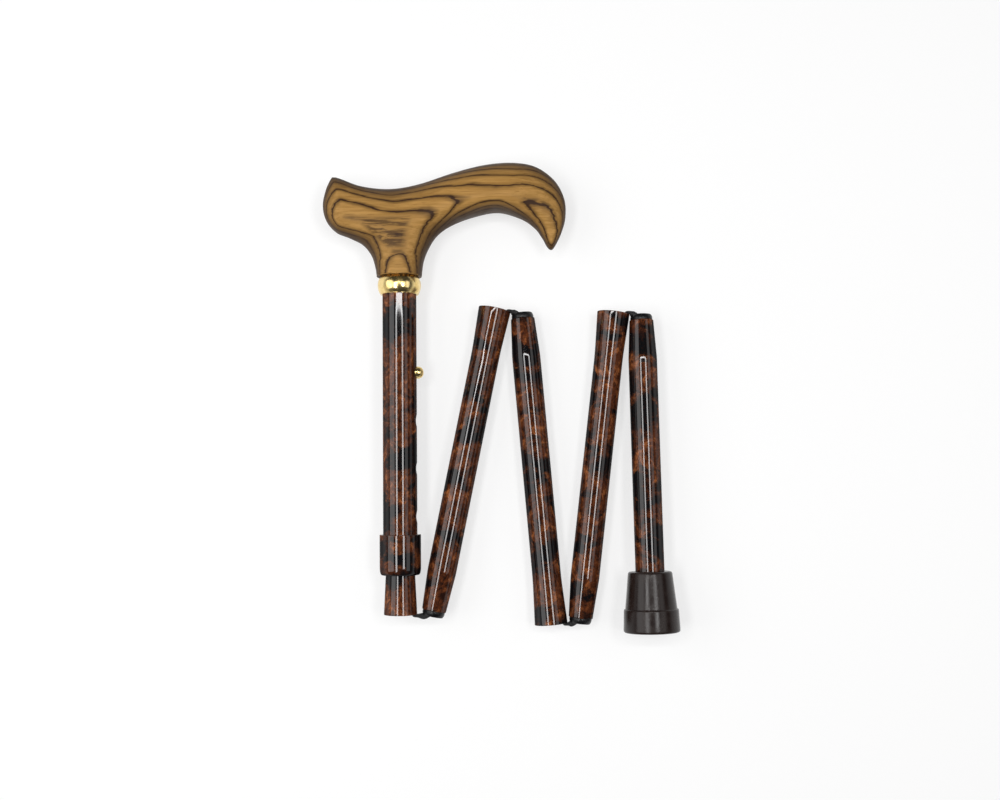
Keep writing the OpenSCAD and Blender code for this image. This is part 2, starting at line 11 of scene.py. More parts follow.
import bmesh
import bpy
import numpy as np
from mathutils import Matrix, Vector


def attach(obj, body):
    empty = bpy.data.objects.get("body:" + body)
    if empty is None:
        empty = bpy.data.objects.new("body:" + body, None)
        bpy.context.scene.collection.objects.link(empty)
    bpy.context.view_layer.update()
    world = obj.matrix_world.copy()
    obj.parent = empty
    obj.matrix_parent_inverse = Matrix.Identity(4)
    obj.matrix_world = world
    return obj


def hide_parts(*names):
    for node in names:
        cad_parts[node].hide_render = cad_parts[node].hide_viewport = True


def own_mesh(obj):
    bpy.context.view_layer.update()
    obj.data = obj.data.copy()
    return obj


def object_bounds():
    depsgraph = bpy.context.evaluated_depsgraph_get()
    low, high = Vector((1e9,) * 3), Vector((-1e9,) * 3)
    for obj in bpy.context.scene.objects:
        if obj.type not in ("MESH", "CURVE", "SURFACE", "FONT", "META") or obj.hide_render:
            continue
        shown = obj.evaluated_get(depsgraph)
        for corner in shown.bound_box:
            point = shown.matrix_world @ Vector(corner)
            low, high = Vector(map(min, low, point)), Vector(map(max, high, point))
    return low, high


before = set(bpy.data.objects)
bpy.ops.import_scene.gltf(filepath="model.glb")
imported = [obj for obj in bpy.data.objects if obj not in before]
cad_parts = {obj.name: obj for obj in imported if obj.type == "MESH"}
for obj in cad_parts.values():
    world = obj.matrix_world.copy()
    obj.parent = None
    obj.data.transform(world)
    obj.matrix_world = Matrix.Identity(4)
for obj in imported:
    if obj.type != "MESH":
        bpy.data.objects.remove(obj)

MM = 0.001
cad_box = [list(corner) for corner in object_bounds()]
print("solids:", len(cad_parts), "box:", np.round(cad_box, 4).tolist())

# %% [markdown]
# ## Camera
# The view is from almost straight above, a little towards the foot end. The focal length is kept
# in pixels of the picture, because that is how it was measured, and turned into millimetres of
# lens.

# %% Camera
PHOTO_W = 1000
FOCAL_PX = 1197
SENSOR_MM = 36
LOOK_AT = np.array([0.34, -1.18, 0]) * MM
CAMERA_AWAY = 650 * MM
CAMERA_TILT = math.radians(4)
CAMERA_ROLL = math.radians(-0.56)


def aim_camera():
    """The camera sits on a line tilted from the vertical, its right and up turned by the roll."""
    back = np.array([0, -math.sin(CAMERA_TILT), math.cos(CAMERA_TILT)])
    level = np.array([1.0, 0, 0])
    right = level * math.cos(CAMERA_ROLL) + np.cross(back, level) * math.sin(CAMERA_ROLL)
    place = np.eye(4)
    place[:3] = np.column_stack([right, np.cross(back, right), back, LOOK_AT + CAMERA_AWAY * back])
    data = bpy.data.cameras.new("camera")
    data.sensor_width = SENSOR_MM
    data.lens = SENSOR_MM * FOCAL_PX / PHOTO_W
    made = bpy.data.objects.new("camera", data)
    made.matrix_world = Matrix(place.tolist())
    bpy.context.scene.collection.objects.link(made)
    bpy.context.scene.camera = made
    return data.lens


print("lens:", round(aim_camera(), 2), "mm")

# %% [markdown]
# ## Lamps
# Glossy tubes draw every lamp as a line along them, so the lamps decide how the lacquer looks.
# The picture shows two thin bright lines and two broad pale ones on each tube: two narrow strips
# near the camera, joined by a short cross strip at the handle end, and two wide soft panels
# further out.

# %% Lamps
LAMP_AWAY = 1.0
# name, angle from straight up, middle along Y, width, length, radiance
LAMPS = [
    ("strip_left", -20, -0.115, 0.16, 0.61, 11),
    ("strip_right", 20.5, -0.022, 0.16, 0.425, 11),
    ("strip_cross", 0, 0.212, 0.72, 0.045, 20),
    ("panel_left", -51, 0.06, 0.6, 0.84, 2.3),
    ("panel_right", 46, 0.04, 0.36, 0.78, 1.2),
]


def hang_lamp(name, angle, along, width, length, radiance):
    """A rectangle of light that faces the cane. Power is radiance times area times pi."""
    data = bpy.data.lights.new(name, "AREA")
    data.shape = "RECTANGLE"
    data.size, data.size_y = width, length
    data.energy = radiance * width * length * math.pi
    made = bpy.data.objects.new(name, data)
    turn = math.radians(angle)
    made.location = (LAMP_AWAY * math.sin(turn), along, LAMP_AWAY * math.cos(turn))
    made.rotation_euler = (0, turn, 0)
    bpy.context.scene.collection.objects.link(made)
    return data.energy


for lamp in LAMPS:
    print(lamp[0], round(hang_lamp(*lamp), 2), "W")

# %% [markdown]
# ## A few words for node trees
# Every material is a small graph. One helper adds a node, sets its options and joins its inputs,
# so that a material reads as a list of what it is made of.

# %% Helpers for node trees
def add(tree, kind, inputs=None, **options):
    """One node with its options. Each input is joined to a socket or set to a value."""
    made = tree.nodes.new(kind)
    for name, value in options.items():
        setattr(made, name, value)
    for key, value in (inputs or {}).items():
        if isinstance(value, bpy.types.NodeSocket):
            tree.links.new(value, made.inputs[key])
        else:
            made.inputs[key].default_value = value
    return made


def maths(tree, operation, *values):
    """One step of arithmetic, as a socket."""
    return add(tree, "ShaderNodeMath", dict(enumerate(values)), operation=operation).outputs[0]


def between(tree, value, low, high, to_low=0.0, to_high=1.0):
    """A smooth step from to_low to to_high while value goes from low to high, as a socket."""
    given = {"Value": value, "From Min": low, "From Max": high, "To Min": to_low, "To Max": to_high}
    return add(tree, "ShaderNodeMapRange", given, interpolation_type="SMOOTHSTEP").outputs["Result"]


def spread(tree, share, low, high):
    """A share from 0 to 1 spread smoothly from low to high, as a socket."""
    return between(tree, share, 0.0, 1.0, low, high)


def blend_colours(tree, share, first, second):
    """Two colours mixed by share, as a socket. The mix node takes colours at its inputs 6 and 7."""
    given = {0: share, 6: first, 7: second}
    return add(tree, "ShaderNodeMix", given, data_type="RGBA").outputs[2]


def noise(tree, place, scale, detail=3.0, rough=0.55):
    """Cloudy noise from 0 to 1, as a socket."""
    given = {"Vector": place, "Scale": scale, "Detail": detail, "Roughness": rough}
    return add(tree, "ShaderNodeTexNoise", given).outputs["Fac"]


def stretched(tree, place, factors):
    """A place whose axes are scaled one by one, as a socket."""
    given = {0: place, 1: factors}
    return add(tree, "ShaderNodeVectorMath", given, operation="MULTIPLY").outputs[0]


def mark(tree, name, kind="Fac"):
    """A number or, as Vector, a place that the mesh carries for each point, as a socket."""
    return add(tree, "ShaderNodeAttribute", attribute_name=name).outputs[kind]


def own_place(tree):
    """The piece's own coordinates, as a socket."""
    return add(tree, "ShaderNodeTexCoord").outputs["Object"]


print("node helpers ready")

# %% [markdown]
# ## Floor and backdrop
# The table is white. For the camera, and in reflections, the floor glows a little on top of the
# light it gets, so it reads as white paper while the cane's shadow stays on it. The sky is white
# at the horizon and dark overhead, which keeps the middle of each glossy tube deep.

# %% Floor and backdrop
FLOOR_SIZE = 12.0
FLOOR_DROP = 0.05 * MM
FLOOR_WHITE = (0.36, 0.36, 0.36, 1)
GLOW = 0.65
# Height of the sky that is still white, height that is dark, and how much light is left there
SKY_WHITE_TO, SKY_DARK_FROM, SKY_DARK = 0.04, 0.36, 0.05


def lay_floor():
    """A flat square just under the cane."""
    half, low = FLOOR_SIZE / 2, cad_box[0][2] - FLOOR_DROP
    mesh = bpy.data.meshes.new("floor")
    corners = [(-half, -half, low), (half, -half, low), (half, half, low), (-half, half, low)]
    mesh.from_pydata(corners, [], [(0, 1, 2, 3)])
    made = bpy.data.objects.new("floor", mesh)
    bpy.context.scene.collection.objects.link(made)
    return made


def paper_material():
    """White paper: matt, with a glow that only the camera and reflections see."""
    made = bpy.data.materials.new("paper")
    made.use_nodes = True
    tree = made.node_tree
    tree.nodes.clear()
    path = add(tree, "ShaderNodeLightPath").outputs
    seen = maths(tree, "MAXIMUM", path["Is Camera Ray"], path["Is Glossy Ray"])
    seen = maths(tree, "MAXIMUM", seen, path["Is Transmission Ray"])
    matt = add(tree, "ShaderNodeBsdfDiffuse", {"Color": FLOOR_WHITE}).outputs[0]
    strength = maths(tree, "MULTIPLY", seen, GLOW)
    glow = add(tree, "ShaderNodeEmission", {"Strength": strength}).outputs[0]
    lit = add(tree, "ShaderNodeAddShader", {0: matt, 1: glow}).outputs[0]
    add(tree, "ShaderNodeOutputMaterial", {"Surface": lit})
    return made


def paint_sky():
    """White at the horizon, falling to dark grey overhead."""
    world = bpy.data.worlds.new("sky")
    world.use_nodes = True
    tree = world.node_tree
    tree.nodes.clear()
    way = add(tree, "ShaderNodeTexCoord").outputs["Generated"]
    height = add(tree, "ShaderNodeSeparateXYZ", {0: way}).outputs["Z"]
    strength = between(tree, height, SKY_WHITE_TO, SKY_DARK_FROM, 1.0, SKY_DARK)
    lit = add(tree, "ShaderNodeBackground", {"Strength": strength}).outputs[0]
    add(tree, "ShaderNodeOutputWorld", {"Surface": lit})
    bpy.context.scene.world = world


lay_floor().data.materials.append(paper_material())
paint_sky()
bpy.context.scene.view_settings.view_transform = "Standard"
print("floor and sky in place")

# %% [markdown]
# ## Shared effects
# Handling leaves the same marks on lacquer, wood, metal, plastic and rubber: soft smudges that
# change the gloss, and a fine grit that catches the light. Grain runs through the handle and the
# dowel alike. Each effect is one node group, so that a material only says how coarse it is.

# %% Shared effects
SMUDGE_EDGE, PORE_EDGE = (0.36, 0.66), (0.56, 0.72)
GRIT_FINER, PORE_FINER = 30.0, 2.6
STREAK_DRAWN, PORE_DRAWN = (0.07, 1, 1), (0.05, 1, 1)


def start_group(name, inputs, outputs):
    """An empty node group with named sockets, and its two end nodes."""
    tree = bpy.data.node_groups.new(name, "ShaderNodeTree")
    for socket, kind in inputs:
        tree.interface.new_socket(socket, in_out="INPUT", socket_type=kind)
    for socket in outputs:
        tree.interface.new_socket(socket, in_out="OUTPUT", socket_type="NodeSocketFloat")
    return tree, add(tree, "NodeGroupInput").outputs, add(tree, "NodeGroupOutput").inputs


def handling_group():
    """Smudge: broad patches of noise. Grit: noise thirty times finer."""
    sockets = [("Place", "NodeSocketVector"), ("Coarseness", "NodeSocketFloat")]
    tree, given, result = start_group("handling", sockets, ["Smudge", "Grit"])
    patches = noise(tree, given["Place"], given["Coarseness"], detail=4.0, rough=0.6)
    tree.links.new(between(tree, patches, *SMUDGE_EDGE), result["Smudge"])
    fine = maths(tree, "MULTIPLY", given["Coarseness"], GRIT_FINER)
    tree.links.new(noise(tree, given["Place"], fine, detail=2.0), result["Grit"])
    return tree


def grain_group():
    """Streak: noise drawn out along X. Pore: the peaks of a finer noise drawn out further."""
    sockets = [("Place", "NodeSocketVector"), ("Fineness", "NodeSocketFloat")]
    tree, given, result = start_group("grain", sockets, ["Streak", "Pore"])
    drawn = stretched(tree, given["Place"], STREAK_DRAWN)
    streaks = noise(tree, drawn, given["Fineness"], detail=5.0, rough=0.6)
    tree.links.new(streaks, result["Streak"])
    fine = maths(tree, "MULTIPLY", given["Fineness"], PORE_FINER)
    thin = noise(tree, stretched(tree, given["Place"], PORE_DRAWN), fine, detail=2.0)
    tree.links.new(between(tree, thin, *PORE_EDGE), result["Pore"])
    return tree


HANDLING, GRAIN = handling_group(), grain_group()
print("groups:", HANDLING.name, GRAIN.name)

# %% [markdown]
# ## Starting a material
# Every finish ends in one Principled shader. What is the same all over the surface is set on the
# shader itself, and what changes over the surface is joined to it.

# %% Starting a material
def start_material(name, **constants):
    """A material with one Principled shader whose named sockets are set."""
    made = bpy.data.materials.new(name)
    made.use_nodes = True
    tree = made.node_tree
    tree.nodes.clear()
    shader = add(tree, "ShaderNodeBsdfPrincipled")
    for socket, value in constants.items():
        shader.inputs[socket.replace("_", " ")].default_value = value
    add(tree, "ShaderNodeOutputMaterial", {"Surface": shader.outputs[0]})
    return made, tree, shader.inputs


def effect(tree, group, place, value):
    """The outputs of a shared effect, fed with a place and its own value."""
    made = add(tree, "ShaderNodeGroup", node_tree=group)
    tree.links.new(place, made.inputs[0])
    made.inputs[1].default_value = value
    return made.outputs


def raised(tree, height, depth, strength=1.0):
    """A bump from a height between 0 and 1, depth metres deep, as a socket."""
    given = {"Height": height, "Distance": depth, "Strength": strength}
    return add(tree, "ShaderNodeBump", given).outputs["Normal"]


def shade(tree, sockets, **given):
    """Joins sockets to the shader by name."""
    for name, socket in given.items():
        tree.links.new(socket, sockets[name.replace("_", " ")])


print("material helpers ready")

# %% [markdown]
# ## Burl lacquer
# The aluminium tubes carry a printed burl under clear lacquer: rust brown, clouded with black
# blotches that lie across the tube, with fine swirls and specks. The print follows the tube, so
# it reads a place along the whole cane that each tube's mesh carries. Bare metal shows where the
# tube is cut or bored.

# %% Burl lacquer
RUST = (0.1, 0.027, 0.009, 1)
AMBER = (0.34, 0.11, 0.033, 1)
UMBER = (0.02, 0.0065, 0.004, 1)
# Black of the print's blotches, also used for the painted shade on the collar's shoulder
INK_AND_SHADE_BLACK = (0.004, 0.0038, 0.0045, 1)
ALUMINIUM = (0.58, 0.57, 0.56, 1)
# How fine each part of the print is, in waves per metre
DRIFT_FINE, CLOUD_FINE, SWIRL_FINE, BLOTCH_FINE, SPECK_FINE = 90.0, 240.0, 130.0, 48.0, 1100.0
# On the last axis, above 1 squeezes a part along the tube and below 1 draws it out
CLOUD_DRAWN, BLOTCH_DRAWN, SPECK_DRAWN = (1, 1, 0.75), (1, 1, 1.7), (1, 1, 0.6)
DRIFT_REACH, SWIRL_TURNS, SPECK_MOST, TUBE_SMUDGE = 0.009, 14.0, 0.6, 70.0
# Steps for between: from, to and, where they aren't 0 and 1, the values at both ends
UMBER_TO_RUST, RUST_TO_AMBER = (0.36, 0.5), (0.5, 0.66)
BLOTCH_EDGE, SPECK_EDGE = (0.46, 0.58), (0.52, 0.66)
SWIRL_EDGE, COAT_BY_SLANT = (0.0, 0.4, 0.5, 0.0), (0.15, 0.6, 0.8, 0.15)


def lacquer_material():
    """Clouds choose the browns, sharper clouds the black, folded clouds the swirls."""
    constants = {"Specular_IOR_Level": 0.0, "Coat_Roughness": 0.05, "Coat_IOR": 1.55}
    made, tree, sockets = start_material("lacquer", **constants)
    printed = mark(tree, "print_place", "Vector")
    drift = add(tree, "ShaderNodeTexNoise", {"Vector": printed, "Scale": DRIFT_FINE})
    drift = stretched(tree, drift.outputs["Color"], (DRIFT_REACH,) * 3)
    given = {0: printed, 1: drift}
    warped = add(tree, "ShaderNodeVectorMath", given, operation="ADD").outputs[0]
    drawn = stretched(tree, warped, CLOUD_DRAWN)
    clouds = noise(tree, drawn, CLOUD_FINE, detail=7.0, rough=0.72)
    brown = blend_colours(tree, between(tree, clouds, *UMBER_TO_RUST), UMBER, RUST)
    brown = blend_colours(tree, between(tree, clouds, *RUST_TO_AMBER), brown, AMBER)
    swirl = noise(tree, drawn, SWIRL_FINE, detail=1.0)
    swirl = maths(tree, "MULTIPLY", swirl, SWIRL_TURNS)
    swirl = between(tree, maths(tree, "PINGPONG", swirl, 1.0), *SWIRL_EDGE)
    brown = blend_colours(tree, swirl, brown, UMBER)
    squeezed = stretched(tree, warped, BLOTCH_DRAWN)
    blotch = noise(tree, squeezed, BLOTCH_FINE, detail=5.0, rough=0.58)
    figure = blend_colours(tree, between(tree, blotch, *BLOTCH_EDGE), brown, INK_AND_SHADE_BLACK)
    speck = noise(tree, stretched(tree, printed, SPECK_DRAWN), SPECK_FINE, detail=2.0)
    speck = maths(tree, "MULTIPLY", between(tree, speck, *SPECK_EDGE), SPECK_MOST)
    figure = blend_colours(tree, speck, figure, UMBER)
    # Painted shade: black on the collar's rounded bottom shoulder, where it turns away from the
    # light
    figure = blend_colours(tree, mark(tree, "shoulder_shade"), figure, INK_AND_SHADE_BLACK)
    bare = mark(tree, "bare")
    slant = add(tree, "ShaderNodeLayerWeight", {"Blend": 0.5}).outputs["Facing"]
    clear = maths(tree, "SUBTRACT", 1.0, bare)
    touch = effect(tree, HANDLING, own_place(tree), TUBE_SMUDGE)
    shade(
        tree,
        sockets,
        Base_Color=blend_colours(tree, bare, figure, ALUMINIUM),
        Metallic=bare,
        Coat_Weight=maths(tree, "MULTIPLY", clear, between(tree, slant, *COAT_BY_SLANT)),
        Roughness=spread(tree, touch["Smudge"], 0.3, 0.42),
        Normal=raised(tree, touch["Grit"], 0.004 * MM),
    )
    return made


LACQUER = lacquer_material()
print("material:", LACQUER.name)

# %% [markdown]
# ## Handle wood
# The handle is carved from a block of pressed veneers. The cut passes through them like contour
# lines on a map, thin and dark where the surface is steep and wide and smoky where it lies along
# a layer. The mesh carries how many veneers up each point is, and whole numbers are the dark
# joints.

# %% Handle wood
TAN = (0.35, 0.187, 0.05, 1)
HONEY = (0.48, 0.265, 0.077, 1)
BRONZE = (0.19, 0.095, 0.025, 1)
# Colour of the painted shade on the handle's flanks
SHADE_BROWN = (0.085, 0.045, 0.017, 1)
JOINT = (0.032, 0.015, 0.009, 1)
WOOD_FINE, WANDER_FINE, WOOD_SMUDGE = 620.0, 120.0, 60.0
# How far a joint strays, in veneers: slowly, and with each streak of the grain
WANDER, FEATHER = 0.34, 0.3
WANDER_DRAWN, PORE_MOST = (0.4, 1, 1), 0.4
# Steps for between, as in the lacquer: over streaks, over the distance from a joint, over the flank
TAN_TO_HONEY, SMOKE_STREAKS = (0.32, 0.7), (0.38, 0.56)
JOINT_HALO, JOINT_SMOKE = (0.0, 0.34, 0.5, 0.0), (0.06, 0.3, 0.6, 0.0)
JOINT_LINE = (0.03, 0.09, 0.92, 0.0)
FLANK_SHADING, FLANK_FADE = (0.02, 0.62), (0.2, 0.6, 1.0, 0.4)


def centred(tree, value, width):
    """A value from 0 to 1 spread evenly about zero, as a socket."""
    return maths(tree, "MULTIPLY_ADD", value, width, -width / 2)


def handle_material():
    """Grain varies the tan, the flanks get painted shade that darkens towards the outline, and each
    whole veneer is a dark joint.
    """
    made, tree, sockets = start_material("handle_wood", Specular_IOR_Level=0.12)
    place = own_place(tree)
    grain = effect(tree, GRAIN, place, WOOD_FINE)
    wander = noise(tree, stretched(tree, place, WANDER_DRAWN), WANDER_FINE)
    stray = [centred(tree, wander, WANDER), centred(tree, grain["Streak"], FEATHER)]
    level = maths(tree, "ADD", mark(tree, "veneer"), maths(tree, "ADD", *stray))
    away = maths(tree, "PINGPONG", level, 0.5)
    wood = blend_colours(tree, between(tree, grain["Streak"], *TAN_TO_HONEY), TAN, HONEY)
    wood = blend_colours(tree, between(tree, away, *JOINT_HALO), wood, BRONZE)
    wood = blend_colours(tree, maths(tree, "MULTIPLY", grain["Pore"], PORE_MOST), wood, BRONZE)
    flank = mark(tree, "flank")
    # Painted shade: the wood darkens towards the outline, where the surface turns away from the
    # light
    wood = blend_colours(tree, between(tree, flank, *FLANK_SHADING), wood, SHADE_BROWN)
    smoky = maths(tree, "MAXIMUM", mark(tree, "smoky"), between(tree, away, *JOINT_SMOKE))
    smoke = maths(tree, "MULTIPLY", smoky, between(tree, grain["Streak"], *SMOKE_STREAKS))
    wood = blend_colours(tree, smoke, wood, JOINT)
    line, fade = between(tree, away, *JOINT_LINE), between(tree, flank, *FLANK_FADE)
    touch = effect(tree, HANDLING, place, WOOD_SMUDGE)
    shade(
        tree,
        sockets,
        Base_Color=blend_colours(tree, maths(tree, "MULTIPLY", line, fade), wood, JOINT),
        Roughness=spread(tree, touch["Smudge"], 0.44, 0.56),
        Normal=raised(tree, grain["Pore"], 0.03 * MM, 0.6),
    )
    return made


HANDLE_WOOD = handle_material()
print("material:", HANDLE_WOOD.name)

# %% [markdown]
# ## Brass, plastic, rubber and steel
# These four are plain materials that handling has touched. Polished brass and plated steel keep
# sharp reflections with dull smudges, and moulded plastic and rubber have a fine pebble. One
# function makes them all, because only colours, gloss and coarseness differ.

# %% Brass, plastic, rubber and steel
def touched_material(name, clean, worn, gloss, coarseness, depth, **constants):
    """Smudges mix the clean and worn colours and the two roughnesses. Grit is the bump."""
    made, tree, sockets = start_material(name, **constants)
    touch = effect(tree, HANDLING, own_place(tree), coarseness)
    shade(
        tree,
        sockets,
        Base_Color=blend_colours(tree, touch["Smudge"], clean, worn),
        Roughness=spread(tree, touch["Smudge"], *gloss),
        Normal=raised(tree, touch["Grit"], depth),
    )
    return made


# Name, clean colour, worn colour, roughness clean and worn, coarseness of smudges, depth of grit
BRASS = touched_material(
    "brass", (0.9, 0.7, 0.32, 1), (0.8, 0.58, 0.22, 1),
    (0.18, 0.28), 260.0, 0.002 * MM, Metallic=1.0,
)
PLASTIC = touched_material(
    "black_plastic", (0.004, 0.004, 0.0045, 1), (0.009, 0.009, 0.01, 1),
    (0.28, 0.38), 220.0, 0.01 * MM, Specular_IOR_Level=0.28,
)
RUBBER = touched_material(
    "foot_rubber", (0.013, 0.0072, 0.006, 1), (0.02, 0.0125, 0.0105, 1),
    (0.2, 0.28), 110.0, 0.014 * MM, Specular_IOR_Level=0.3,
)
STEEL = touched_material(
    "steel", (0.6, 0.6, 0.62, 1), (0.48, 0.48, 0.5, 1),
    (0.22, 0.38), 300.0, 0.004 * MM, Metallic=1.0,
)
print("materials:", BRASS.name, PLASTIC.name, RUBBER.name, STEEL.name)

# %% [markdown]
# ## Dowel wood and elastic
# The dowel inside the neck is plain pale wood with its grain along the cane, so its place is
# turned before the shared grain reads it. The cord is rubber strands in a black braided sleeve,
# and its UV map counts strands round the cord and rows along it.

# %% Dowel wood and elastic
PALE = (0.56, 0.39, 0.21, 1)
PALE_DARK = (0.4, 0.25, 0.115, 1)
YARN = (0.005, 0.005, 0.0055, 1)
YARN_CREST_HIGHLIGHT = (0.018, 0.018, 0.019, 1)
DOWEL_FINE, FUZZ_FINE, FUZZ_ROUGH = 500.0, 4000.0, (0.3, 0.7, 0.6, 0.85)


def dowel_material():
    """Pale wood whose grain runs along Y."""
    made, tree, sockets = start_material("dowel_wood")
    turn = {"Vector": own_place(tree), "Rotation": (0, 0, math.pi / 2)}
    grain = effect(tree, GRAIN, add(tree, "ShaderNodeMapping", turn).outputs[0], DOWEL_FINE)
    shade(
        tree,
        sockets,
        Base_Color=blend_colours(tree, grain["Streak"], PALE, PALE_DARK),
        Roughness=spread(tree, grain["Pore"], 0.55, 0.7),
        Normal=raised(tree, grain["Pore"], 0.04 * MM),
    )
    return made


def elastic_material():
    """Two sets of slanting yarns cross: each is an even ridge, and the higher one shows. Its crests
    get a painted highlight, so the grooves read as painted shade.
    """
    made, tree, sockets = start_material("elastic", Sheen_Weight=0.12, Sheen_Roughness=0.5)
    count = add(tree, "ShaderNodeUVMap").outputs[0]
    place = add(tree, "ShaderNodeSeparateXYZ", {0: count}).outputs
    one = maths(tree, "PINGPONG", maths(tree, "ADD", place["X"], place["Y"]), 0.5)
    two = maths(tree, "PINGPONG", maths(tree, "SUBTRACT", place["X"], place["Y"]), 0.5)
    ridge = maths(tree, "MULTIPLY", maths(tree, "MAXIMUM", one, two), 2.0)
    fuzz = noise(tree, own_place(tree), FUZZ_FINE, detail=2.0)
    # Painted highlight on the yarn crests and painted shade in the grooves between them
    lit = maths(tree, "MULTIPLY", ridge, fuzz)
    shade(
        tree,
        sockets,
        Base_Color=blend_colours(tree, lit, YARN, YARN_CREST_HIGHLIGHT),
        Roughness=between(tree, fuzz, *FUZZ_ROUGH),
        Normal=raised(tree, maths(tree, "ADD", ridge, fuzz), 0.06 * MM),
    )
    return made


DOWEL_WOOD, ELASTIC = dowel_material(), elastic_material()
print("materials:", DOWEL_WOOD.name, ELASTIC.name)

# %% [markdown]
# ## Where each section lies
# Every tube is easiest to describe upright, with its own axis as z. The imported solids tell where
# each section lies, so one seat per section holds an origin and three axes: section 1 starts
# under the brass ring, and the others start at the face of their plug.

# %% Where each section lies
# Sections that start with a plug. The last one carries the foot.
SECTIONS = (2, 3, 4, 5)


def unit(rows):
    """Each row, or one vector, divided by its length."""
    return rows / np.linalg.norm(rows, axis=-1, keepdims=True)


def solid_points(name):
    """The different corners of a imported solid, in millimetres."""
    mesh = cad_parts[name].data
    flat = np.empty(3 * len(mesh.vertices), np.float32)
    mesh.vertices.foreach_get("co", flat)
    return np.unique(np.round(flat.reshape(-1, 3).astype(float) / MM, 4), axis=0)


def upper_seat():
    """Section 1 lies along Y: its z runs down the cane from the underside of the ring."""
    tube, ring = solid_points("upper_tube"), solid_points("neck_ring")
    low, high = tube.min(0), tube.max(0)
    origin = np.array([(low[0] + high[0]) / 2, ring[:, 1].min(), (low[2] + high[2]) / 2])
    return origin, np.array([[1.0, 0, 0], [0, 0, 1.0], [0, -1.0, 0]])


def section_seat(k):
    """The cord's longest direction is z, away from the plug. x is level, and y completes."""
    cord, plug = solid_points(f"cord_{k}"), solid_points(f"plug_{k}")
    middle = cord.mean(0)
    along = np.linalg.svd(cord - middle, full_matrices=False)[2][0]
    along = along * np.sign((middle - plug.mean(0)) @ along)
    across = unit(np.sign(along[1]) * np.array([along[1], -along[0], 0.0]))
    origin = middle + along * ((plug - middle) @ along).min()
    return origin, np.array([across, np.cross(along, across), along])


SEATS = {1: upper_seat(), **{k: section_seat(k) for k in SECTIONS}}


def span(name, k):
    """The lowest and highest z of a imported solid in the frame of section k."""
    origin, axes = SEATS[k]
    heights = (solid_points(name) - origin) @ axes[2]
    return heights.min(), heights.max()


for k, (origin, axes) in SEATS.items():
    start, along = np.round(origin, 2).tolist(), np.round(axes[2], 4).tolist()
    print("section", k, "starts at", start, "along", along)

# %% [markdown]
# ## From arrays to pieces
# A surface here is a grid of points worked out at once. The same few steps turn any grid into a
# piece: join its doubles, point its faces outwards, shade it smooth but for sharp edges, and say
# which body carries it, which finish it takes and which solid it stands for.

# %% From arrays to pieces
SHARP_OVER = math.radians(38)
MERGE_MM = 0.002


def quads(rows, columns, wrap_rows=False, wrap_columns=True):
    """The four corners of each cell of a grid, numbered row by row."""
    i = np.arange(rows if wrap_rows else rows - 1)[:, None]
    j = np.arange(columns if wrap_columns else columns - 1)[None, :]
    down, right = (i + 1) % rows, (j + 1) % columns
    corners = [i * columns + j, i * columns + right, down * columns + right, down * columns + j]
    return np.stack(np.broadcast_arrays(*corners), axis=-1).reshape(-1, 4)


def cell_uv(rows, columns, around, along):
    """UV of each cell's corners, around and along per whole grid, so the seam stays straight."""
    i, j = np.mgrid[0 : rows - 1, 0:columns]
    u = np.stack([j, j + 1, j + 1, j], axis=-1) * around / columns
    v = np.stack([i, i, i + 1, i + 1], axis=-1) * along / (rows - 1)
    return np.stack([u, v], axis=-1).reshape(-1, 2)


def joined(*shells):
    """Several surfaces as one: points stacked, and each one's faces counted on from the last."""
    starts = np.cumsum([0] + [len(points) for points, _ in shells[:-1]])
    faces = [cells + start for (_, cells), start in zip(shells, starts)]
    return np.concatenate([points for points, _ in shells]), np.concatenate(faces)


def set_marks(mesh, marks):
    """Writes numbers or vectors per point into the mesh, where materials can read them."""
    for name, values in marks.items():
        kind, field = ("FLOAT_VECTOR", "vector") if values.ndim == 2 else ("FLOAT", "value")
        layer = mesh.attributes.new(name, kind, "POINT")
        layer.data.foreach_set(field, values.astype(np.float32).ravel())


def piece(name, shell, seat, body, material, stands_for=(), marks=None, uv=None):
    """A surface in a section's frame, in millimetres, made into an object that rides on a body."""
    points, faces = shell
    origin, axes = seat
    mesh = bpy.data.meshes.new(name)
    mesh.from_pydata(((origin + points @ axes) * MM).tolist(), [], faces.tolist())
    set_marks(mesh, marks or {})
    if uv is not None:
        mesh.uv_layers.new(name="UVMap").data.foreach_set("uv", uv.astype(np.float32).ravel())
    work = bmesh.new()
    work.from_mesh(mesh)
    bmesh.ops.remove_doubles(work, verts=work.verts, dist=MERGE_MM * MM)
    bmesh.ops.delete(work, geom=[v for v in work.verts if not v.link_faces], context="VERTS")
    bmesh.ops.recalc_face_normals(work, faces=work.faces)
    if work.calc_volume(signed=True) < 0:
        bmesh.ops.reverse_faces(work, faces=work.faces)
    open_edges = sum(not edge.is_manifold for edge in work.edges)
    work.to_mesh(mesh)
    work.free()
    mesh.shade_smooth()
    mesh.set_sharp_from_angle(angle=SHARP_OVER)
    mesh.materials.append(material)
    made = bpy.data.objects.new(name, mesh)
    bpy.context.scene.collection.objects.link(made)
    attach(made, body)
    if stands_for:
        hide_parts(*stands_for)
    print(name, "faces:", len(mesh.polygons), "open edges:", open_edges)
    return made


# %% [markdown]
# ## Turned profiles
# Tubes, plugs, rings and the foot are all turned on a lathe or drawn round, so one half section
# says everything. Its corners are eased with a small parabola, and long straight runs are split
# so that smooth shading stays straight along them.

# %% Turned profiles
TURN_STEPS = 96
EASE_STEPS = 6
RUN_MM = 3.0
# Share of a side that an easing may take, and a length too small to matter
EASE_MOST, TINY = 0.48, 1e-9


def without_repeats(points):
    """Drops each point that repeats the one before it."""
    gap = np.linalg.norm(np.diff(points[:, :2], axis=0), axis=1)
    return points[np.concatenate([[True], gap > MERGE_MM])]


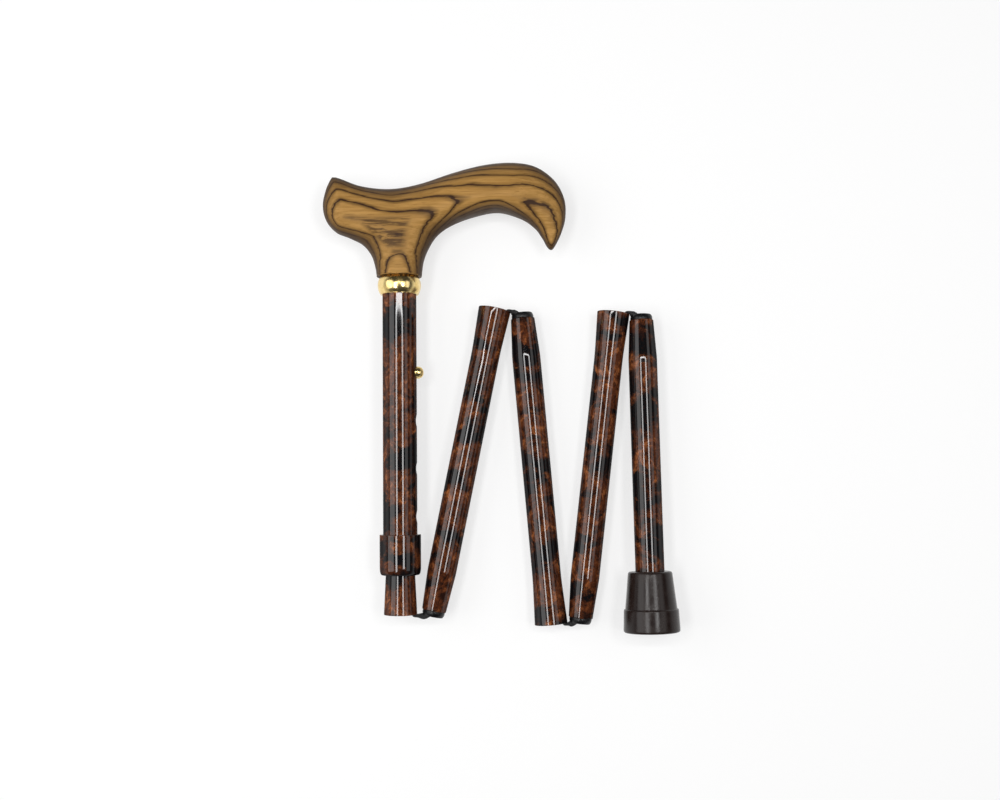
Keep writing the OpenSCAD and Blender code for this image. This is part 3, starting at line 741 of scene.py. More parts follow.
def split_runs(points):
    """Extra points at even distances on every run that is longer than RUN_MM."""
    ways = np.diff(points, axis=0)
    counts = np.maximum(1, np.ceil(np.linalg.norm(ways[:, :2], axis=1) / RUN_MM).astype(int))
    which = np.repeat(np.arange(len(counts)), counts)
    share = (np.arange(len(which)) - np.repeat(np.cumsum(counts) - counts, counts)) / counts[which]
    return np.concatenate([points[which] + share[:, None] * ways[which], points[-1:]])


def eased(corners):
    """Rows of radius, z and easing: each corner becomes a parabola between its two sides."""
    rows = np.array(corners, float)
    at, ease = rows[:, :2], rows[:, 2:3]
    before, after = np.roll(at, 1, 0) - at, np.roll(at, -1, 0) - at
    before[0] = after[-1] = 0
    ease = np.where((np.arange(len(at)) % (len(at) - 1) == 0)[:, None], 0, ease)
    reach_b = np.linalg.norm(before, axis=1, keepdims=True) + TINY
    reach_a = np.linalg.norm(after, axis=1, keepdims=True) + TINY
    back = before / reach_b * np.minimum(ease, EASE_MOST * reach_b)
    front = after / reach_a * np.minimum(ease, EASE_MOST * reach_a)
    t = np.linspace(0, 1, EASE_STEPS + 1)[None, :, None]
    curve = at[:, None] + back[:, None] * (1 - t) ** 2 + front[:, None] * t**2
    return split_runs(without_repeats(curve.reshape(-1, 2)))


def turned(profile, steps=TURN_STEPS):
    """Each profile point goes round a circle: x = r cos a, y = r sin a, z = z."""
    angle = np.arange(steps) * 2 * math.pi / steps
    r, z = profile[:, :1], profile[:, 1:2]
    points = np.stack([r * np.cos(angle), r * np.sin(angle), z + 0 * angle], axis=-1).reshape(-1, 3)
    return points, quads(len(profile), steps)


def looped(corners):
    """A profile that comes back to its start, begun halfway along its first side."""
    start = [(corners[0][0] + corners[1][0]) / 2, (corners[0][1] + corners[1][1]) / 2, 0]
    return eased([start] + list(corners[1:]) + [corners[0], start])


print("profile helpers ready")

# %% [markdown]
# ## Folding tubes
# Each tube is drawn aluminium: one end is squeezed to a tapered spigot, and the other is flared
# so that the next spigot wedges into it. Outside and inside are two profiles that meet on the
# rims. The outside is lacquered, and the inside stays bare metal.

# %% Folding tubes
TUBE_R, TUBE_IN_R = 7.6, 6.6
SOCKET_R, MOUTH_R = 7.494, 8.694
SPIGOT_R, SPIGOT_IN_R = 6.35, 5.35
SPIGOT_LEN, SOCKET_LEN, FLARE_LEN = 20.5, 14.66, 23.0
RIM_EASE, CREASE_EASE, FLARE_EASE = 0.3, 1.2, 6.0
# Rim and tube radius of a spigot, then rim and tube radius, length and easing of a socket
SPIGOT_OUT, SPIGOT_IN = (SPIGOT_R, TUBE_R), (SPIGOT_IN_R, TUBE_IN_R)
SOCKET_OUT = (MOUTH_R, TUBE_R, FLARE_LEN, FLARE_EASE)
SOCKET_IN = (SOCKET_R, TUBE_IN_R, SOCKET_LEN, CREASE_EASE)
# How far apart on the print two neighbouring sections are cut
PRINT_STEP = 0.37


def spigot(low, rim_r, tube_r):
    """From the middle of the spigot's rim to the straight tube, on one side of the wall."""
    middle = (SPIGOT_IN_R + SPIGOT_R) / 2
    return [[middle, low, 0], [rim_r, low, RIM_EASE], [tube_r, low + SPIGOT_LEN, CREASE_EASE]]


def socket(high, rim_r, tube_r, length, ease):
    """From the straight tube to the middle of the mouth's rim, on one side of the wall."""
    middle = (SOCKET_R + MOUTH_R) / 2
    return [[tube_r, high - length, ease], [rim_r, high, RIM_EASE], [middle, high, 0]]


def tube_marks(points, k, bare):
    """Where each point lies on the print, in metres, and where the metal is bare."""
    return {"print_place": (points + [0, 0, k * PRINT_STEP / MM]) * MM, "bare": bare}


def make_tube(k):
    """Section k's tube: spigot, straight, and a socket or, on the last one, a plain end."""
    low, high = span(f"tube_{k}", k)
    outside, inside = spigot(low, *SPIGOT_OUT), spigot(low, *SPIGOT_IN)
    if k < SECTIONS[-1]:
        outside += socket(high, *SOCKET_OUT)
        inside += socket(high, *SOCKET_IN)
    else:
        middle = [(TUBE_R + TUBE_IN_R) / 2, high, 0]
        outside += [[TUBE_R, high, RIM_EASE], middle]
        inside += [[TUBE_IN_R, high, RIM_EASE], middle]
    outside, inside = eased(outside), eased(inside[::-1])
    shell = turned(np.concatenate([outside, inside]))
    bare = np.repeat([0.0, 1.0], [len(outside) * TURN_STEPS, len(inside) * TURN_STEPS])
    marks = tube_marks(shell[0], k, bare)
    piece(f"tube_{k}", shell, SEATS[k], f"section_{k}", LACQUER, [f"tube_{k}"], marks)


for k in SECTIONS:
    make_tube(k)

# %% [markdown]
# ## Drilled tubes
# The upper tube has a row of holes for the spring button, and the adjuster inside it has one. A
# hole could be cut with a boolean, but that leaves long thin faces that shade badly. Here the
# square rings of cells round each hole are pulled to circles, the cells inside are left out, and
# a strip joins the walls.

# %% Drilled tubes
UPPER_R, UPPER_IN_R = 9.0, 7.7
HOLE_R, HOLE_DROP, HOLE_PITCH, HOLE_COUNT = 3.55, 41.7, 25.4, 4
HOLE_CELLS, PATCH_CELLS, AROUND_CELLS = 6, 10, 72
CELL = HOLE_R / HOLE_CELLS
HOLES = HOLE_DROP + HOLE_PITCH * np.arange(HOLE_COUNT)
# Where on the print the pieces of section 1 are cut, in steps
UPPER_PRINT, ADJUSTER_PRINT, COLLAR_PRINT = 4, 1, 6


def drilled_rows(low, high, holes):
    """Heights along a wall: even steps, and fine rows beside each hole."""
    near = holes[:, None] + CELL * np.arange(-PATCH_CELLS, PATCH_CELLS + 1)
    even = np.arange(low, high, RUN_MM)
    clear = np.abs(even[:, None] - holes).min(axis=1) > CELL * (PATCH_CELLS + 1)
    return np.unique(np.concatenate([[low], even[clear], near.ravel(), [high]]))


def wall(radius, heights):
    """Profile points of a straight wall."""
    return np.column_stack([np.full(len(heights), radius), heights])


def drilled_grid(rows, holes):
    """A ring of points per row. Beside a hole, a point at (p, q) on the unrolled wall moves so that
    its distance becomes max(|p|, |q|), fading out over the patch: squares turn into circles."""
    r, z = rows.T
    nearest = holes[np.abs(z[:, None] - holes).argmin(axis=1)]
    p, q = CELL * np.arange(-PATCH_CELLS, PATCH_CELLS + 1)[None], (z - nearest)[:, None]
    ring, limit = np.maximum(np.abs(p), np.abs(q)), CELL * PATCH_CELLS
    pull = np.clip((limit - ring) / (limit - HOLE_R), 0, 1)
    scale = 1 - pull + pull * ring / np.maximum(np.hypot(p, q), MERGE_MM)
    edge = np.arcsin(limit / r)[:, None]
    around = edge + (2 * math.pi - 2 * edge) * np.arange(1, AROUND_CELLS) / AROUND_CELLS
    angle = np.hstack([np.arcsin(p * scale / r[:, None]), around])
    height = np.hstack([nearest[:, None] + q * scale, z[:, None] + 0 * around])
    inside = np.hstack([ring < HOLE_R + MERGE_MM, around < 0])
    points = np.stack([r[:, None] * np.cos(angle), r[:, None] * np.sin(angle), height], axis=-1)
    return points, inside


def hole_strip(rows, outer_count, columns, hole):
    """Faces that join the outer wall to the inner one round a hole."""
    step = np.arange(-HOLE_CELLS, HOLE_CELLS)
    low, high = np.full(len(step), -HOLE_CELLS), np.full(len(step), HOLE_CELLS)
    i, j = np.concatenate([step, high, -step, low]), np.concatenate([low, step, high, -step])
    level = np.abs(rows[:, 1:2] - (hole + CELL * np.arange(-HOLE_CELLS, HOLE_CELLS + 1)))
    halves = level[:outer_count].argmin(axis=0), outer_count + level[outer_count:].argmin(axis=0)
    outer, inner = (half[i + HOLE_CELLS] * columns + PATCH_CELLS + j for half in halves)
    return np.stack([outer, np.roll(outer, -1), np.roll(inner, -1), inner], axis=-1)


def make_drilled(name, outside, inside, holes, body, printed):
    """A drilled tube from its outer and inner profiles, which make one closed loop."""
    rows = np.concatenate([outside, inside])
    grid, gone = drilled_grid(rows, holes)
    columns = grid.shape[1]
    cells = quads(len(rows), columns, wrap_rows=True)
    cells = cells[~gone.ravel()[cells].all(axis=1)]
    strips = [hole_strip(rows, len(outside), columns, hole) for hole in holes]
    points = grid.reshape(-1, 3)
    bare = np.repeat([0.0, 1.0], [len(outside) * columns, len(inside) * columns])
    shell = points, np.concatenate([cells, *strips])
    marks = tube_marks(points, printed, bare)
    piece(name, shell, SEATS[1], body, LACQUER, [name], marks)


def make_upper_tube():
    """A plain drilled pipe."""
    heights = drilled_rows(*span("upper_tube", 1), HOLES)
    outside, inside = wall(UPPER_R, heights), wall(UPPER_IN_R, heights[::-1])
    make_drilled("upper_tube", outside, inside, HOLES, "upper", UPPER_PRINT)


def make_adjuster():
    """A drilled pipe that ends in a flared socket."""
    low, high = span("adjuster_tube", 1)
    heights = drilled_rows(low, high - FLARE_LEN - 2 * FLARE_EASE, HOLES[:1])
    flare = eased([[TUBE_R, heights[-1], 0]] + socket(high, *SOCKET_OUT))[1:]
    bore = eased(socket(high, *SOCKET_IN)[::-1] + [[TUBE_IN_R, heights[-1], 0]])[:-1]
    outside = np.concatenate([wall(TUBE_R, heights), flare])
    inside = np.concatenate([bore, wall(TUBE_IN_R, heights[::-1])])
    make_drilled("adjuster_tube", outside, inside, HOLES[:1], "adjuster", ADJUSTER_PRINT)


make_upper_tube()
make_adjuster()

# %% [markdown]
# ## Ring, collar, plugs and foot
# The brass ring is a round bead between two fine grooves. The lacquered collar screws on the bush
# and clamps the adjuster. Each spigot ends in a black plug with a bell mouth that spares the
# cord, and the foot is moulded rubber with a broad band and grooves in its base.

# %% Ring and collar
# Easing of small edges, and how close to a bore a point counts as on it
CRISP, SOFT, NEAR = 0.2, 0.3, 0.1
RING_IN_R, RING_EDGE_R, RING_R = 9.05, 10.15, 11.55
RING_GROOVE_W, RING_GROOVE_DEEP, RING_EASE = 0.2, 0.3, 0.1
COLLAR_R, COLLAR_IN_R, COLLAR_MOUTH_R, COLLAR_ROUND = 10.85, 9.95, 8.2, 2.8
COLLAR_TOP_R, COLLAR_LIP, COLLAR_FLOOR = 9.1, 3.2, 4.1
COLLAR_RIM_EASE, SHOULDER_EASE = 0.25, 1.6 * COLLAR_ROUND
BEAD_STEPS = 14
# How far in from the collar's side its rounded bottom shoulder is painted black as shade
SHADE_DEPTH = 0.6


def ring_profile():
    """A bead: r follows a circle's arc, with a fine groove above and below it."""
    low, high = span("neck_ring", 1)
    middle, half = (low + high) / 2, (high - low) / 2 - RING_GROOVE_W
    sag = RING_R - RING_EDGE_R
    curve = (half**2 + sag**2) / (2 * sag)
    angle = np.linspace(-1, 1, BEAD_STEPS + 1) * math.asin(half / curve)
    r, z = RING_R - curve + curve * np.cos(angle), middle + curve * np.sin(angle)
    bead = np.column_stack([r, z, 0 * angle]).tolist()
    dip = RING_EDGE_R - RING_GROOVE_DEEP
    above = [(RING_IN_R, low), (dip, low), (dip, low + RING_GROOVE_W)]
    below = [(dip, high - RING_GROOVE_W), (dip, high), (RING_IN_R, high)]
    above, below = ([[*at, RING_EASE] for at in corners] for corners in (above, below))
    return looped(above + bead + below)


def collar_profile():
    """A crisp top edge, straight sides, a round shoulder and an inner floor that meets the bush."""
    low, high = span("lock_collar", 1)
    floor, lip = high - COLLAR_FLOOR, low + COLLAR_LIP
    return looped([
        [COLLAR_TOP_R, low, CRISP], [COLLAR_R, low, COLLAR_RIM_EASE],
        [COLLAR_R, high, SHOULDER_EASE], [COLLAR_MOUTH_R, high, SOFT],
        [COLLAR_MOUTH_R, floor, CRISP], [COLLAR_IN_R, floor, SOFT],
        [COLLAR_IN_R, lip, SOFT], [COLLAR_TOP_R, lip, CRISP],
    ])


def make_ring_and_collar():
    """Two turned pieces of section 1. The collar is bare metal inside."""
    piece("neck_ring", turned(ring_profile()), SEATS[1], "upper", BRASS, ["neck_ring"])
    shell = turned(collar_profile())
    radius = np.hypot(*shell[0][:, :2].T)
    inside = shell[0][:, 2] < span("lock_collar", 1)[1] - COLLAR_FLOOR + SOFT
    bare = (radius < COLLAR_MOUTH_R + NEAR) | inside & (radius < COLLAR_IN_R + NEAR)
    marks = tube_marks(shell[0], COLLAR_PRINT, bare * 1.0)
    # Painted shade: the collar's rounded bottom shoulder is painted black, fully once it curves in
    # past the depth
    marks["shoulder_shade"] = np.clip((COLLAR_R - radius) / SHADE_DEPTH, 0, 1) * ~inside
    piece("lock_collar", shell, SEATS[1], "collar", LACQUER, ["lock_collar"], marks)


make_ring_and_collar()

# %% Plugs and foot
PLUG_R, PLUG_HEAD, PLUG_STEM, PLUG_EDGE = 5.9, 3.1, 12.0, 0.7
PLUG_ROOM, PLUG_END_EASE, BELL_EASE = 0.05, 0.5, 3.0
BELL_R, BELL_DEPTH, CORD_HOLE_R = 4.6, 5.5, 1.9
FOOT_R, FOOT_TOP_R, WAIST_R, FOOT_BAND, BAND_TAPER = 14.85, 11.5, 13.6, 12.0, 0.5
FOOT_EDGE, FOOT_BORE_EASE, WAIST_EASE, GROOVE_EASE = 1.4, 0.4, 0.5, 0.25
GROOVES, GROOVE_W, GROOVE_DEPTH, FOOT_BORE_R, TREAD = 3, 1.6, 1.2, 7.65, 6.0


def plug_profile():
    """A round head outside the tube, a stem inside it, and a bore that opens like a bell."""
    stem, end = SPIGOT_IN_R - PLUG_ROOM, PLUG_HEAD + PLUG_STEM
    return looped([
        [BELL_R, 0, SOFT], [PLUG_R - PLUG_EDGE, 0, PLUG_EDGE],
        [PLUG_R, 2 * PLUG_EDGE, 2 * PLUG_EDGE], [PLUG_R, PLUG_HEAD, SOFT],
        [stem, PLUG_HEAD, CRISP], [stem, end, PLUG_END_EASE],
        [CORD_HOLE_R, end, SOFT], [CORD_HOLE_R, BELL_DEPTH, BELL_EASE],
    ])


def foot_profile():
    """A cone that meets a broad band at a soft step, and ring grooves in the base."""
    low, high = span("foot", 5)
    band = high - FOOT_BAND
    bore = [[0, high - TREAD, 0], [FOOT_BORE_R, high - TREAD, FOOT_BORE_EASE]]
    outside = [
        [FOOT_BORE_R, low, FOOT_BORE_EASE], [FOOT_TOP_R, low, FOOT_EDGE],
        [WAIST_R, band, WAIST_EASE], [FOOT_R - BAND_TAPER, band, FOOT_EDGE],
        [FOOT_R, high, FOOT_EDGE],
    ]
    middles = FOOT_R * np.arange(GROOVES, 0, -1) / (GROOVES + 1)
    sides = np.array([[1, 0], [1, 1], [-1, 1], [-1, 0]])
    r = middles[:, None] + sides[None, :, 0] * GROOVE_W / 2
    z = high - sides[None, :, 1] * GROOVE_DEPTH + 0 * r
    grooves = np.stack([r, z, np.full_like(r, GROOVE_EASE)], axis=-1).reshape(-1, 3).tolist()
    return eased(bore + outside + grooves + [[0, high, 0]])


def make_plugs_and_foot():
    """Four equal plugs, and the foot on the last section."""
    for k in SECTIONS:
        name, shell = f"plug_{k}", turned(plug_profile())
        piece(name, shell, SEATS[k], f"section_{k}", PLASTIC, [name])
    piece("foot", turned(foot_profile()), SEATS[5], "section_5", RUBBER, ["foot"])


make_plugs_and_foot()

# %% [markdown]
# ## The handle's shape
# The handle is carved: a neck that spreads into a short nose on one side and a long grip with a
# beak on the other. Its outline is a smooth curve through a few points, in shares of the neck,
# nose and beak. A line of spine points runs inside it, and a quarter ellipse joins each outline
# point to its spine.

# %% The handle's outline and spines
NECK_R, HANDLE_H, NOSE, BEAK = 12.0, 60.9, 40.8, 89.3
PALM_THICK, CROTCH_THICK, NOSE_THICK, BEAK_THICK = 29.6, 28.0, 24.0, 13.0
# Shares of the neck's radius and the handle's height, from the neck's base up to the nose
NECK_LEFT = [(-1, 0), (-1.06, 0.08), (-1.24, 0.19), (-1.63, 0.285)]
# Shares of the nose's reach, round the nose and over the saddle
NOSE_ROUND = [
    (-0.66, 0.35), (-0.83, 0.4), (-0.955, 0.5), (-1, 0.635), (-0.96, 0.775), (-0.89, 0.877),
    (-0.848, 0.888), (-0.77, 0.875), (-0.49, 0.805), (-0.12, 0.778),
]
# Shares of the beak's reach, over the palm, round the beak and back under the grip
BEAK_ROUND = [
    (0.118, 0.816), (0.336, 0.918), (0.515, 0.982), (0.683, 1), (0.823, 0.962), (0.935, 0.84),
    (0.992, 0.68), (0.999, 0.517), (0.974, 0.378), (0.936, 0.263), (0.912, 0.225), (0.887, 0.25),
    (0.858, 0.328), (0.812, 0.422), (0.728, 0.51), (0.588, 0.571), (0.448, 0.532), (0.314, 0.456),
]
NECK_RIGHT = [(1.71, 0.363), (1.325, 0.25), (1.09, 0.13), (1, 0)]


def scaled(shares, reach):
    """Shares of a reach and of the handle's height, in millimetres."""
    return np.array(shares) * [reach, HANDLE_H]


OUTLINE = np.concatenate([
    scaled(NECK_LEFT, NECK_R), scaled(NOSE_ROUND, NOSE),
    scaled(BEAK_ROUND, BEAK), scaled(NECK_RIGHT, NECK_R),
])
# Spine points: across, up, and half the thickness there
CROTCH = (0.02 * BEAK, 0.4 * HANDLE_H, CROTCH_THICK / 2)
NECK_SPINE = np.array([(0, 0, NECK_R), CROTCH])
NOSE_SPINE = np.array([CROTCH, (-0.66 * NOSE, 0.51 * HANDLE_H, NOSE_THICK / 2)])
GRIP_SPINE = np.array([
    CROTCH,
    (0.38 * BEAK, 0.635 * HANDLE_H, PALM_THICK / 2),
    (0.655 * BEAK, 0.665 * HANDLE_H, PALM_THICK / 2),
    (0.85 * BEAK, 0.53 * HANDLE_H, (PALM_THICK + BEAK_THICK) / 4),
    (0.91 * BEAK, 0.36 * HANDLE_H, BEAK_THICK / 2),
])
print("outline points:", len(OUTLINE))

# %% [markdown]
# ## Carving the handle
# Walking along the outline, each point is matched with a place on a spine: up the neck, out along
# the nose and back, out along the grip and back, down the neck. Both sides of a spine meet on its
# ridge, so the surface closes by itself. The same walk counts the veneers that the wood material
# draws.

# %% Carving the handle
RIB_FINE, QUARTER_STEPS = 4, 24
# Outline from, outline to, spine, share of the spine from, to, and ribs
WALK = [
    (0, 3, NECK_SPINE, 0, 1, 8), (3, 5, NOSE_SPINE, 0, 1, 8), (5, 11, NOSE_SPINE, 1, 1, 14),
    (11, 13, NOSE_SPINE, 1, 0, 8), (13, 22, GRIP_SPINE, 0, 1, 30), (22, 26, GRIP_SPINE, 1, 1, 10),
    (26, 32, GRIP_SPINE, 1, 0, 30), (32, 35, NECK_SPINE, 1, 0, 8),
]
VENEER_MM, VENEER_LEAN = 3.3, 0.22
# Place across the handle, or up the neck, and how many veneers up its ridge is there
RIDGE_VENEERS = np.array([
    (-27, 1.79), (1.8, 1.79), (18, 1), (31, 0), (44, -0.54),
    (51, -0.66), (57, -0.58), (62, -0.3), (67, 0), (78, 0.3),
])
NECK_VENEERS = np.array([(0, 0.83), (7, 0.5), (9.6, 0.32), (10.4, 0.1), (20, 0.1), (24.4, 0)])
# The smoky patch where neck and nose meet: rows of its height, left edge and right edge
SMOKY = np.array([(12, -5, 3.5), (21, -14.5, 6), (31, -25, 9)])
SMOKY_EASE, SMOKY_MOST = 3.0, 0.8
BORE_R, BORE_DEPTH, SCREW_HOLE_R, SCREW_DEPTH = 7.7, 20.05, 2.05, 32.05


def curve_at(line, t):
    """The smooth curve through a line's points: each stretch is a cubic that leaves its two points
    along the lines between their neighbours."""
    i = np.clip(np.floor(t).astype(int), 0, len(line) - 2)
    f = (t - i)[:, None]
    a, b = line[np.maximum(i - 1, 0)], line[i]
    c, d = line[i + 1], line[np.minimum(i + 2, len(line) - 1)]
    second, third = 2 * a - 5 * b + 4 * c - d, 3 * b - a - 3 * c + d
    return (2 * b + (c - a) * f + second * f**2 + third * f**3) / 2


def walk_stretch(start, stop, spine, first, last, ribs):
    """Outline points and spine points of one stretch, without its end."""
    share = np.arange(ribs * RIB_FINE) / (ribs * RIB_FINE)
    along = (first + (last - first) * share) * (len(spine) - 1)
    return np.hstack([curve_at(OUTLINE, start + (stop - start) * share), curve_at(spine, along)])


def handle_ribs():
    """Rows of outline x, y, spine x, y and half thickness, from the neck's left to its right."""
    end = np.array([[*OUTLINE[-1], *NECK_SPINE[0]]])
    return np.concatenate([walk_stretch(*stretch) for stretch in WALK] + [end])


def smoky_patch(flat):
    """How far each point is inside the patch's four edges, from none to the most."""
    x, y = flat[..., 0], flat[..., 1]
    left, right = (np.interp(y, SMOKY[:, 0], SMOKY[:, side]) for side in (1, 2))
    inside = np.minimum.reduce([x - left, right - x, y - SMOKY[0, 0], SMOKY[-1, 0] - y])
    return SMOKY_MOST * np.clip(inside / SMOKY_EASE, 0, 1)


def carve_handle():
    """At angle b a rib's point is spine + (outline - spine) cos b, at the height half sin b."""
    ribs = handle_ribs()
    outline, spine, half = ribs[:, None, :2], ribs[:, None, 2:4], ribs[:, None, 4]
    b = np.linspace(-math.pi / 2, math.pi / 2, 2 * QUARTER_STEPS + 1)[None]
    flat = spine + (outline - spine) * np.cos(b)[..., None]
    height = half * np.sin(b)
    points = np.concatenate([flat, height[..., None]], axis=-1).reshape(-1, 3)
    ridge = np.interp(spine[..., 0], *RIDGE_VENEERS.T) + np.interp(spine[..., 1], *NECK_VENEERS.T)
    leaned = half - height + VENEER_LEAN * (flat - spine)[..., 1]
    marks = {"veneer": ridge - leaned / VENEER_MM, "smoky": smoky_patch(flat)}
    marks["flank"] = np.broadcast_to(1 - np.abs(np.sin(b)), height.shape)
    shell = points, quads(*height.shape, wrap_columns=False)
    return shell, {name: values.ravel() for name, values in marks.items()}


def bore_handle():
    """The neck's base with its stepped bore for dowel and screw, turned about Y."""
    steps = [
        [NECK_R, 0, 0], [BORE_R, 0, SOFT], [BORE_R, BORE_DEPTH, SOFT],
        [SCREW_HOLE_R, BORE_DEPTH, CRISP], [SCREW_HOLE_R, SCREW_DEPTH, CRISP], [0, SCREW_DEPTH, 0],
    ]
    points, cells = turned(eased(steps), 4 * QUARTER_STEPS)
    return points[:, [0, 2, 1]], cells


def make_handle():
    """The carved shell and its bore as one piece, seated on the ring."""
    shell, marks = carve_handle()
    bore = bore_handle()
    origin = SEATS[1][0] * [1, 0, 1] + [0, solid_points("neck_ring")[:, 1].max(), 0]
    plain = np.zeros(len(bore[0]))
    marks = {name: np.concatenate([values, plain]) for name, values in marks.items()}
    seat, whole = (origin, np.eye(3)), joined(shell, bore)
    piece("handle", whole, seat, "upper", HANDLE_WOOD, ["handle"], marks)


make_handle()

# %% [markdown]
# ## Spring button
# A domed brass button sits on a strip of spring brass, folded to a narrow V inside the adjuster.
# Pressed, the button sinks through both tubes and the V closes. The strip is a piece of its
# own, carried by the adjuster.

# %% Spring button
BUTTON_R, BUTTON_RISE, BUTTON_TRAVEL, BUTTON_SIDES = 3.3, 3.7, 5.2, 48
# Height above the tube at which the dome starts, and a power below 1 that makes it fuller
DOME_START, DOME_FULL = 0.4, 0.8
LEAF_REACH, LEAF_W, LEAF_THICK = 5.68, 6.0, 0.6
LEAF_LEN, LEAF_OVER, LEAF_BEND = 18.0, 4.5, 2.0
DOME_STEPS, LEAF_STEPS = 14, 24


def button_shell():
    """A short pin with a domed head, turned about z and laid along x."""
    turn = np.linspace(0, 1, DOME_STEPS + 1) * math.pi / 2
    start, tip = UPPER_R + DOME_START, UPPER_R + BUTTON_RISE
    r, z = BUTTON_R * np.cos(turn) ** DOME_FULL, start + (tip - start) * np.sin(turn)
    dome, base = np.column_stack([r, z]), LEAF_REACH - LEAF_THICK
    pin = eased([[0, base, 0], [BUTTON_R, base, SOFT], [*dome[0], 0]])
    points, cells = turned(np.concatenate([pin[:-1], dome]), BUTTON_SIDES)
    return points @ np.array([[0, 0, -1], [0, 1, 0], [1, 0, 0]]) + [0, 0, HOLE_DROP], cells


def leaf_path():
    """Half of the V is a straight leg and a quarter of the bend. Mirrored, it is the other half."""
    middle_r, out = LEAF_BEND - LEAF_THICK / 2, LEAF_REACH - LEAF_THICK / 2
    lean = math.atan2(out - middle_r, LEAF_LEN + LEAF_OVER)
    angle = np.linspace(lean, math.pi / 2, LEAF_STEPS)
    bend = np.column_stack([middle_r * np.cos(angle), LEAF_LEN + middle_r * np.sin(angle)])
    leg = np.linspace([out, -LEAF_OVER], bend[0], LEAF_STEPS)
    half = np.concatenate([leg[:-1], bend])
    return np.concatenate([half, half[-2::-1] * [-1, 1]])


def leaf_shell():
    """A flat bar carried along the V: four edges at half the width and half the thickness."""
    path = leaf_path()
    ahead = unit(np.gradient(path, axis=0))
    side = np.column_stack([-ahead[:, 1], ahead[:, 0]]) * LEAF_THICK / 2
    edges = np.array([(1, -1), (1, 1), (-1, 1), (-1, -1)])
    flat = path[:, None] + side[:, None] * edges[None, :, :1]
    y = np.broadcast_to(edges[:, 1] * LEAF_W / 2, flat.shape[:2])
    points = np.stack([flat[..., 0], y, flat[..., 1] + HOLE_DROP], axis=-1).reshape(-1, 3)
    last = 4 * (len(path) - 1)
    ends = np.array([[0, 1, 2, 3], [last, last + 1, last + 2, last + 3]])
    return points, np.concatenate([quads(len(path), 4), ends])


def make_button():
    """The button rides on its own body, and its leaf on the adjuster."""
    piece("snap_button", button_shell(), SEATS[1], "button", BRASS, ["snap_button"])
    leaf = piece("button_leaf", leaf_shell(), SEATS[1], "adjuster", BRASS)
    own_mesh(leaf)


make_button()

# %% [markdown]
# ## Elastic cord
# One braided elastic runs through the whole cane from a knot in the adjuster to a knot above the
# foot. In each tube it is straight. A round section is carried along the path, its skin lifted by
# two sets of yarns that cross, and a half ball closes each end.

# %% Elastic cord
CORD_R, YARNS, BRAID_MM, CORD_SIDES = 1.5, 8, 1.2, 40
ROW_MM, CAP_STEPS = 0.4, 5
# Share of the radius between the yarns, and how much a yarn adds
BRAID_LOW, BRAID_RISE = 0.95, 0.06


def braid(around, along):
    """Height of crossing yarns, from 0 to 1: the higher of two sets of ridges |sin|."""
    one, two = np.sin(math.pi * (around + along)), np.sin(math.pi * (around - along))
    return np.maximum(np.abs(one), np.abs(two))


def walked(path):
    """The way from the first point to each point: the sum of the steps before it."""
    steps = np.linalg.norm(np.diff(path, axis=0), axis=1)
    return np.concatenate([[0], np.cumsum(steps)])


def swept(path, across, flat):
    """A braided cord along a path: at each point an ellipse spanned by across and by the direction
    square to it, wider where it is pressed flat, then caps whose ellipses shrink with cos as they
    move out with sin."""
    ahead = unit(np.gradient(path, axis=0))
    t = np.linspace(0, math.pi / 2, CAP_STEPS + 1)[1:, None]
    reach = CORD_R * flat[[0, -1]]
    first = path[0] - ahead[0] * reach[0] * np.sin(t[::-1])
    last = path[-1] + ahead[-1] * reach[1] * np.sin(t)
    centre = np.concatenate([first, path, last])
    size = CORD_R * np.concatenate([np.cos(t[::-1]), np.ones((len(path), 1)), np.cos(t)])
    caps = [(CAP_STEPS, CAP_STEPS), (0, 0)]
    ahead, flat = np.pad(ahead, caps, "edge"), np.pad(flat[:, None], caps, "edge")
    across = np.broadcast_to(across, ahead.shape)
    across = unit(across - ahead * (across * ahead).sum(axis=1, keepdims=True))
    thin, wide = flat * np.cross(across, ahead), across / np.sqrt(flat)
    length = walked(centre)
    a = np.arange(CORD_SIDES) * 2 * math.pi / CORD_SIDES
    ridges = braid(a * YARNS / (2 * math.pi), length[:, None] / BRAID_MM)
    lift = size * (BRAID_LOW + BRAID_RISE * ridges)
    ring = np.cos(a)[None, :, None] * thin[:, None] + np.sin(a)[None, :, None] * wide[:, None]
    points = centre[:, None] + lift[..., None] * ring
    uv = cell_uv(len(centre), CORD_SIDES, YARNS, length[-1] / BRAID_MM)
    return (points.reshape(-1, 3), quads(len(centre), CORD_SIDES)), uv


def make_straight_cord(k):
    """The cord inside section k, from end to end of its solid."""
    low, high = span(f"cord_{k}", k)
    z = np.linspace(low, high, int((high - low) / ROW_MM))
    path = np.column_stack([0 * z, 0 * z, z])
    shell, uv = swept(path, np.array([0, 1.0, 0]), np.ones(len(z)))
    body = "adjuster" if k == 1 else f"section_{k}"
    piece(f"cord_{k}", shell, SEATS[k], body, ELASTIC, [f"cord_{k}"], uv=uv)


for k in SEATS:
    make_straight_cord(k)

# %% [markdown]
# ## Cord over the folds
# At a fold the cord leaves the mouth along its wall, turns over the rim and dives into the next
# plug. It shows as a short black loop. The part in the mouth goes with the fold's link, and the
# part by the plug with the next section.

# %% Cord over the folds
CORD_STOP, BEND_DIVE, BEND_ASIDE = 21.1, 7.0, 2.3
# Room between cord and rim, and how far past the rim the cord goes
RIM_ROOM, RIM_PAST = 0.12, 0.3
RIM_SPLIT, ROUTE_FINE = 6, 400
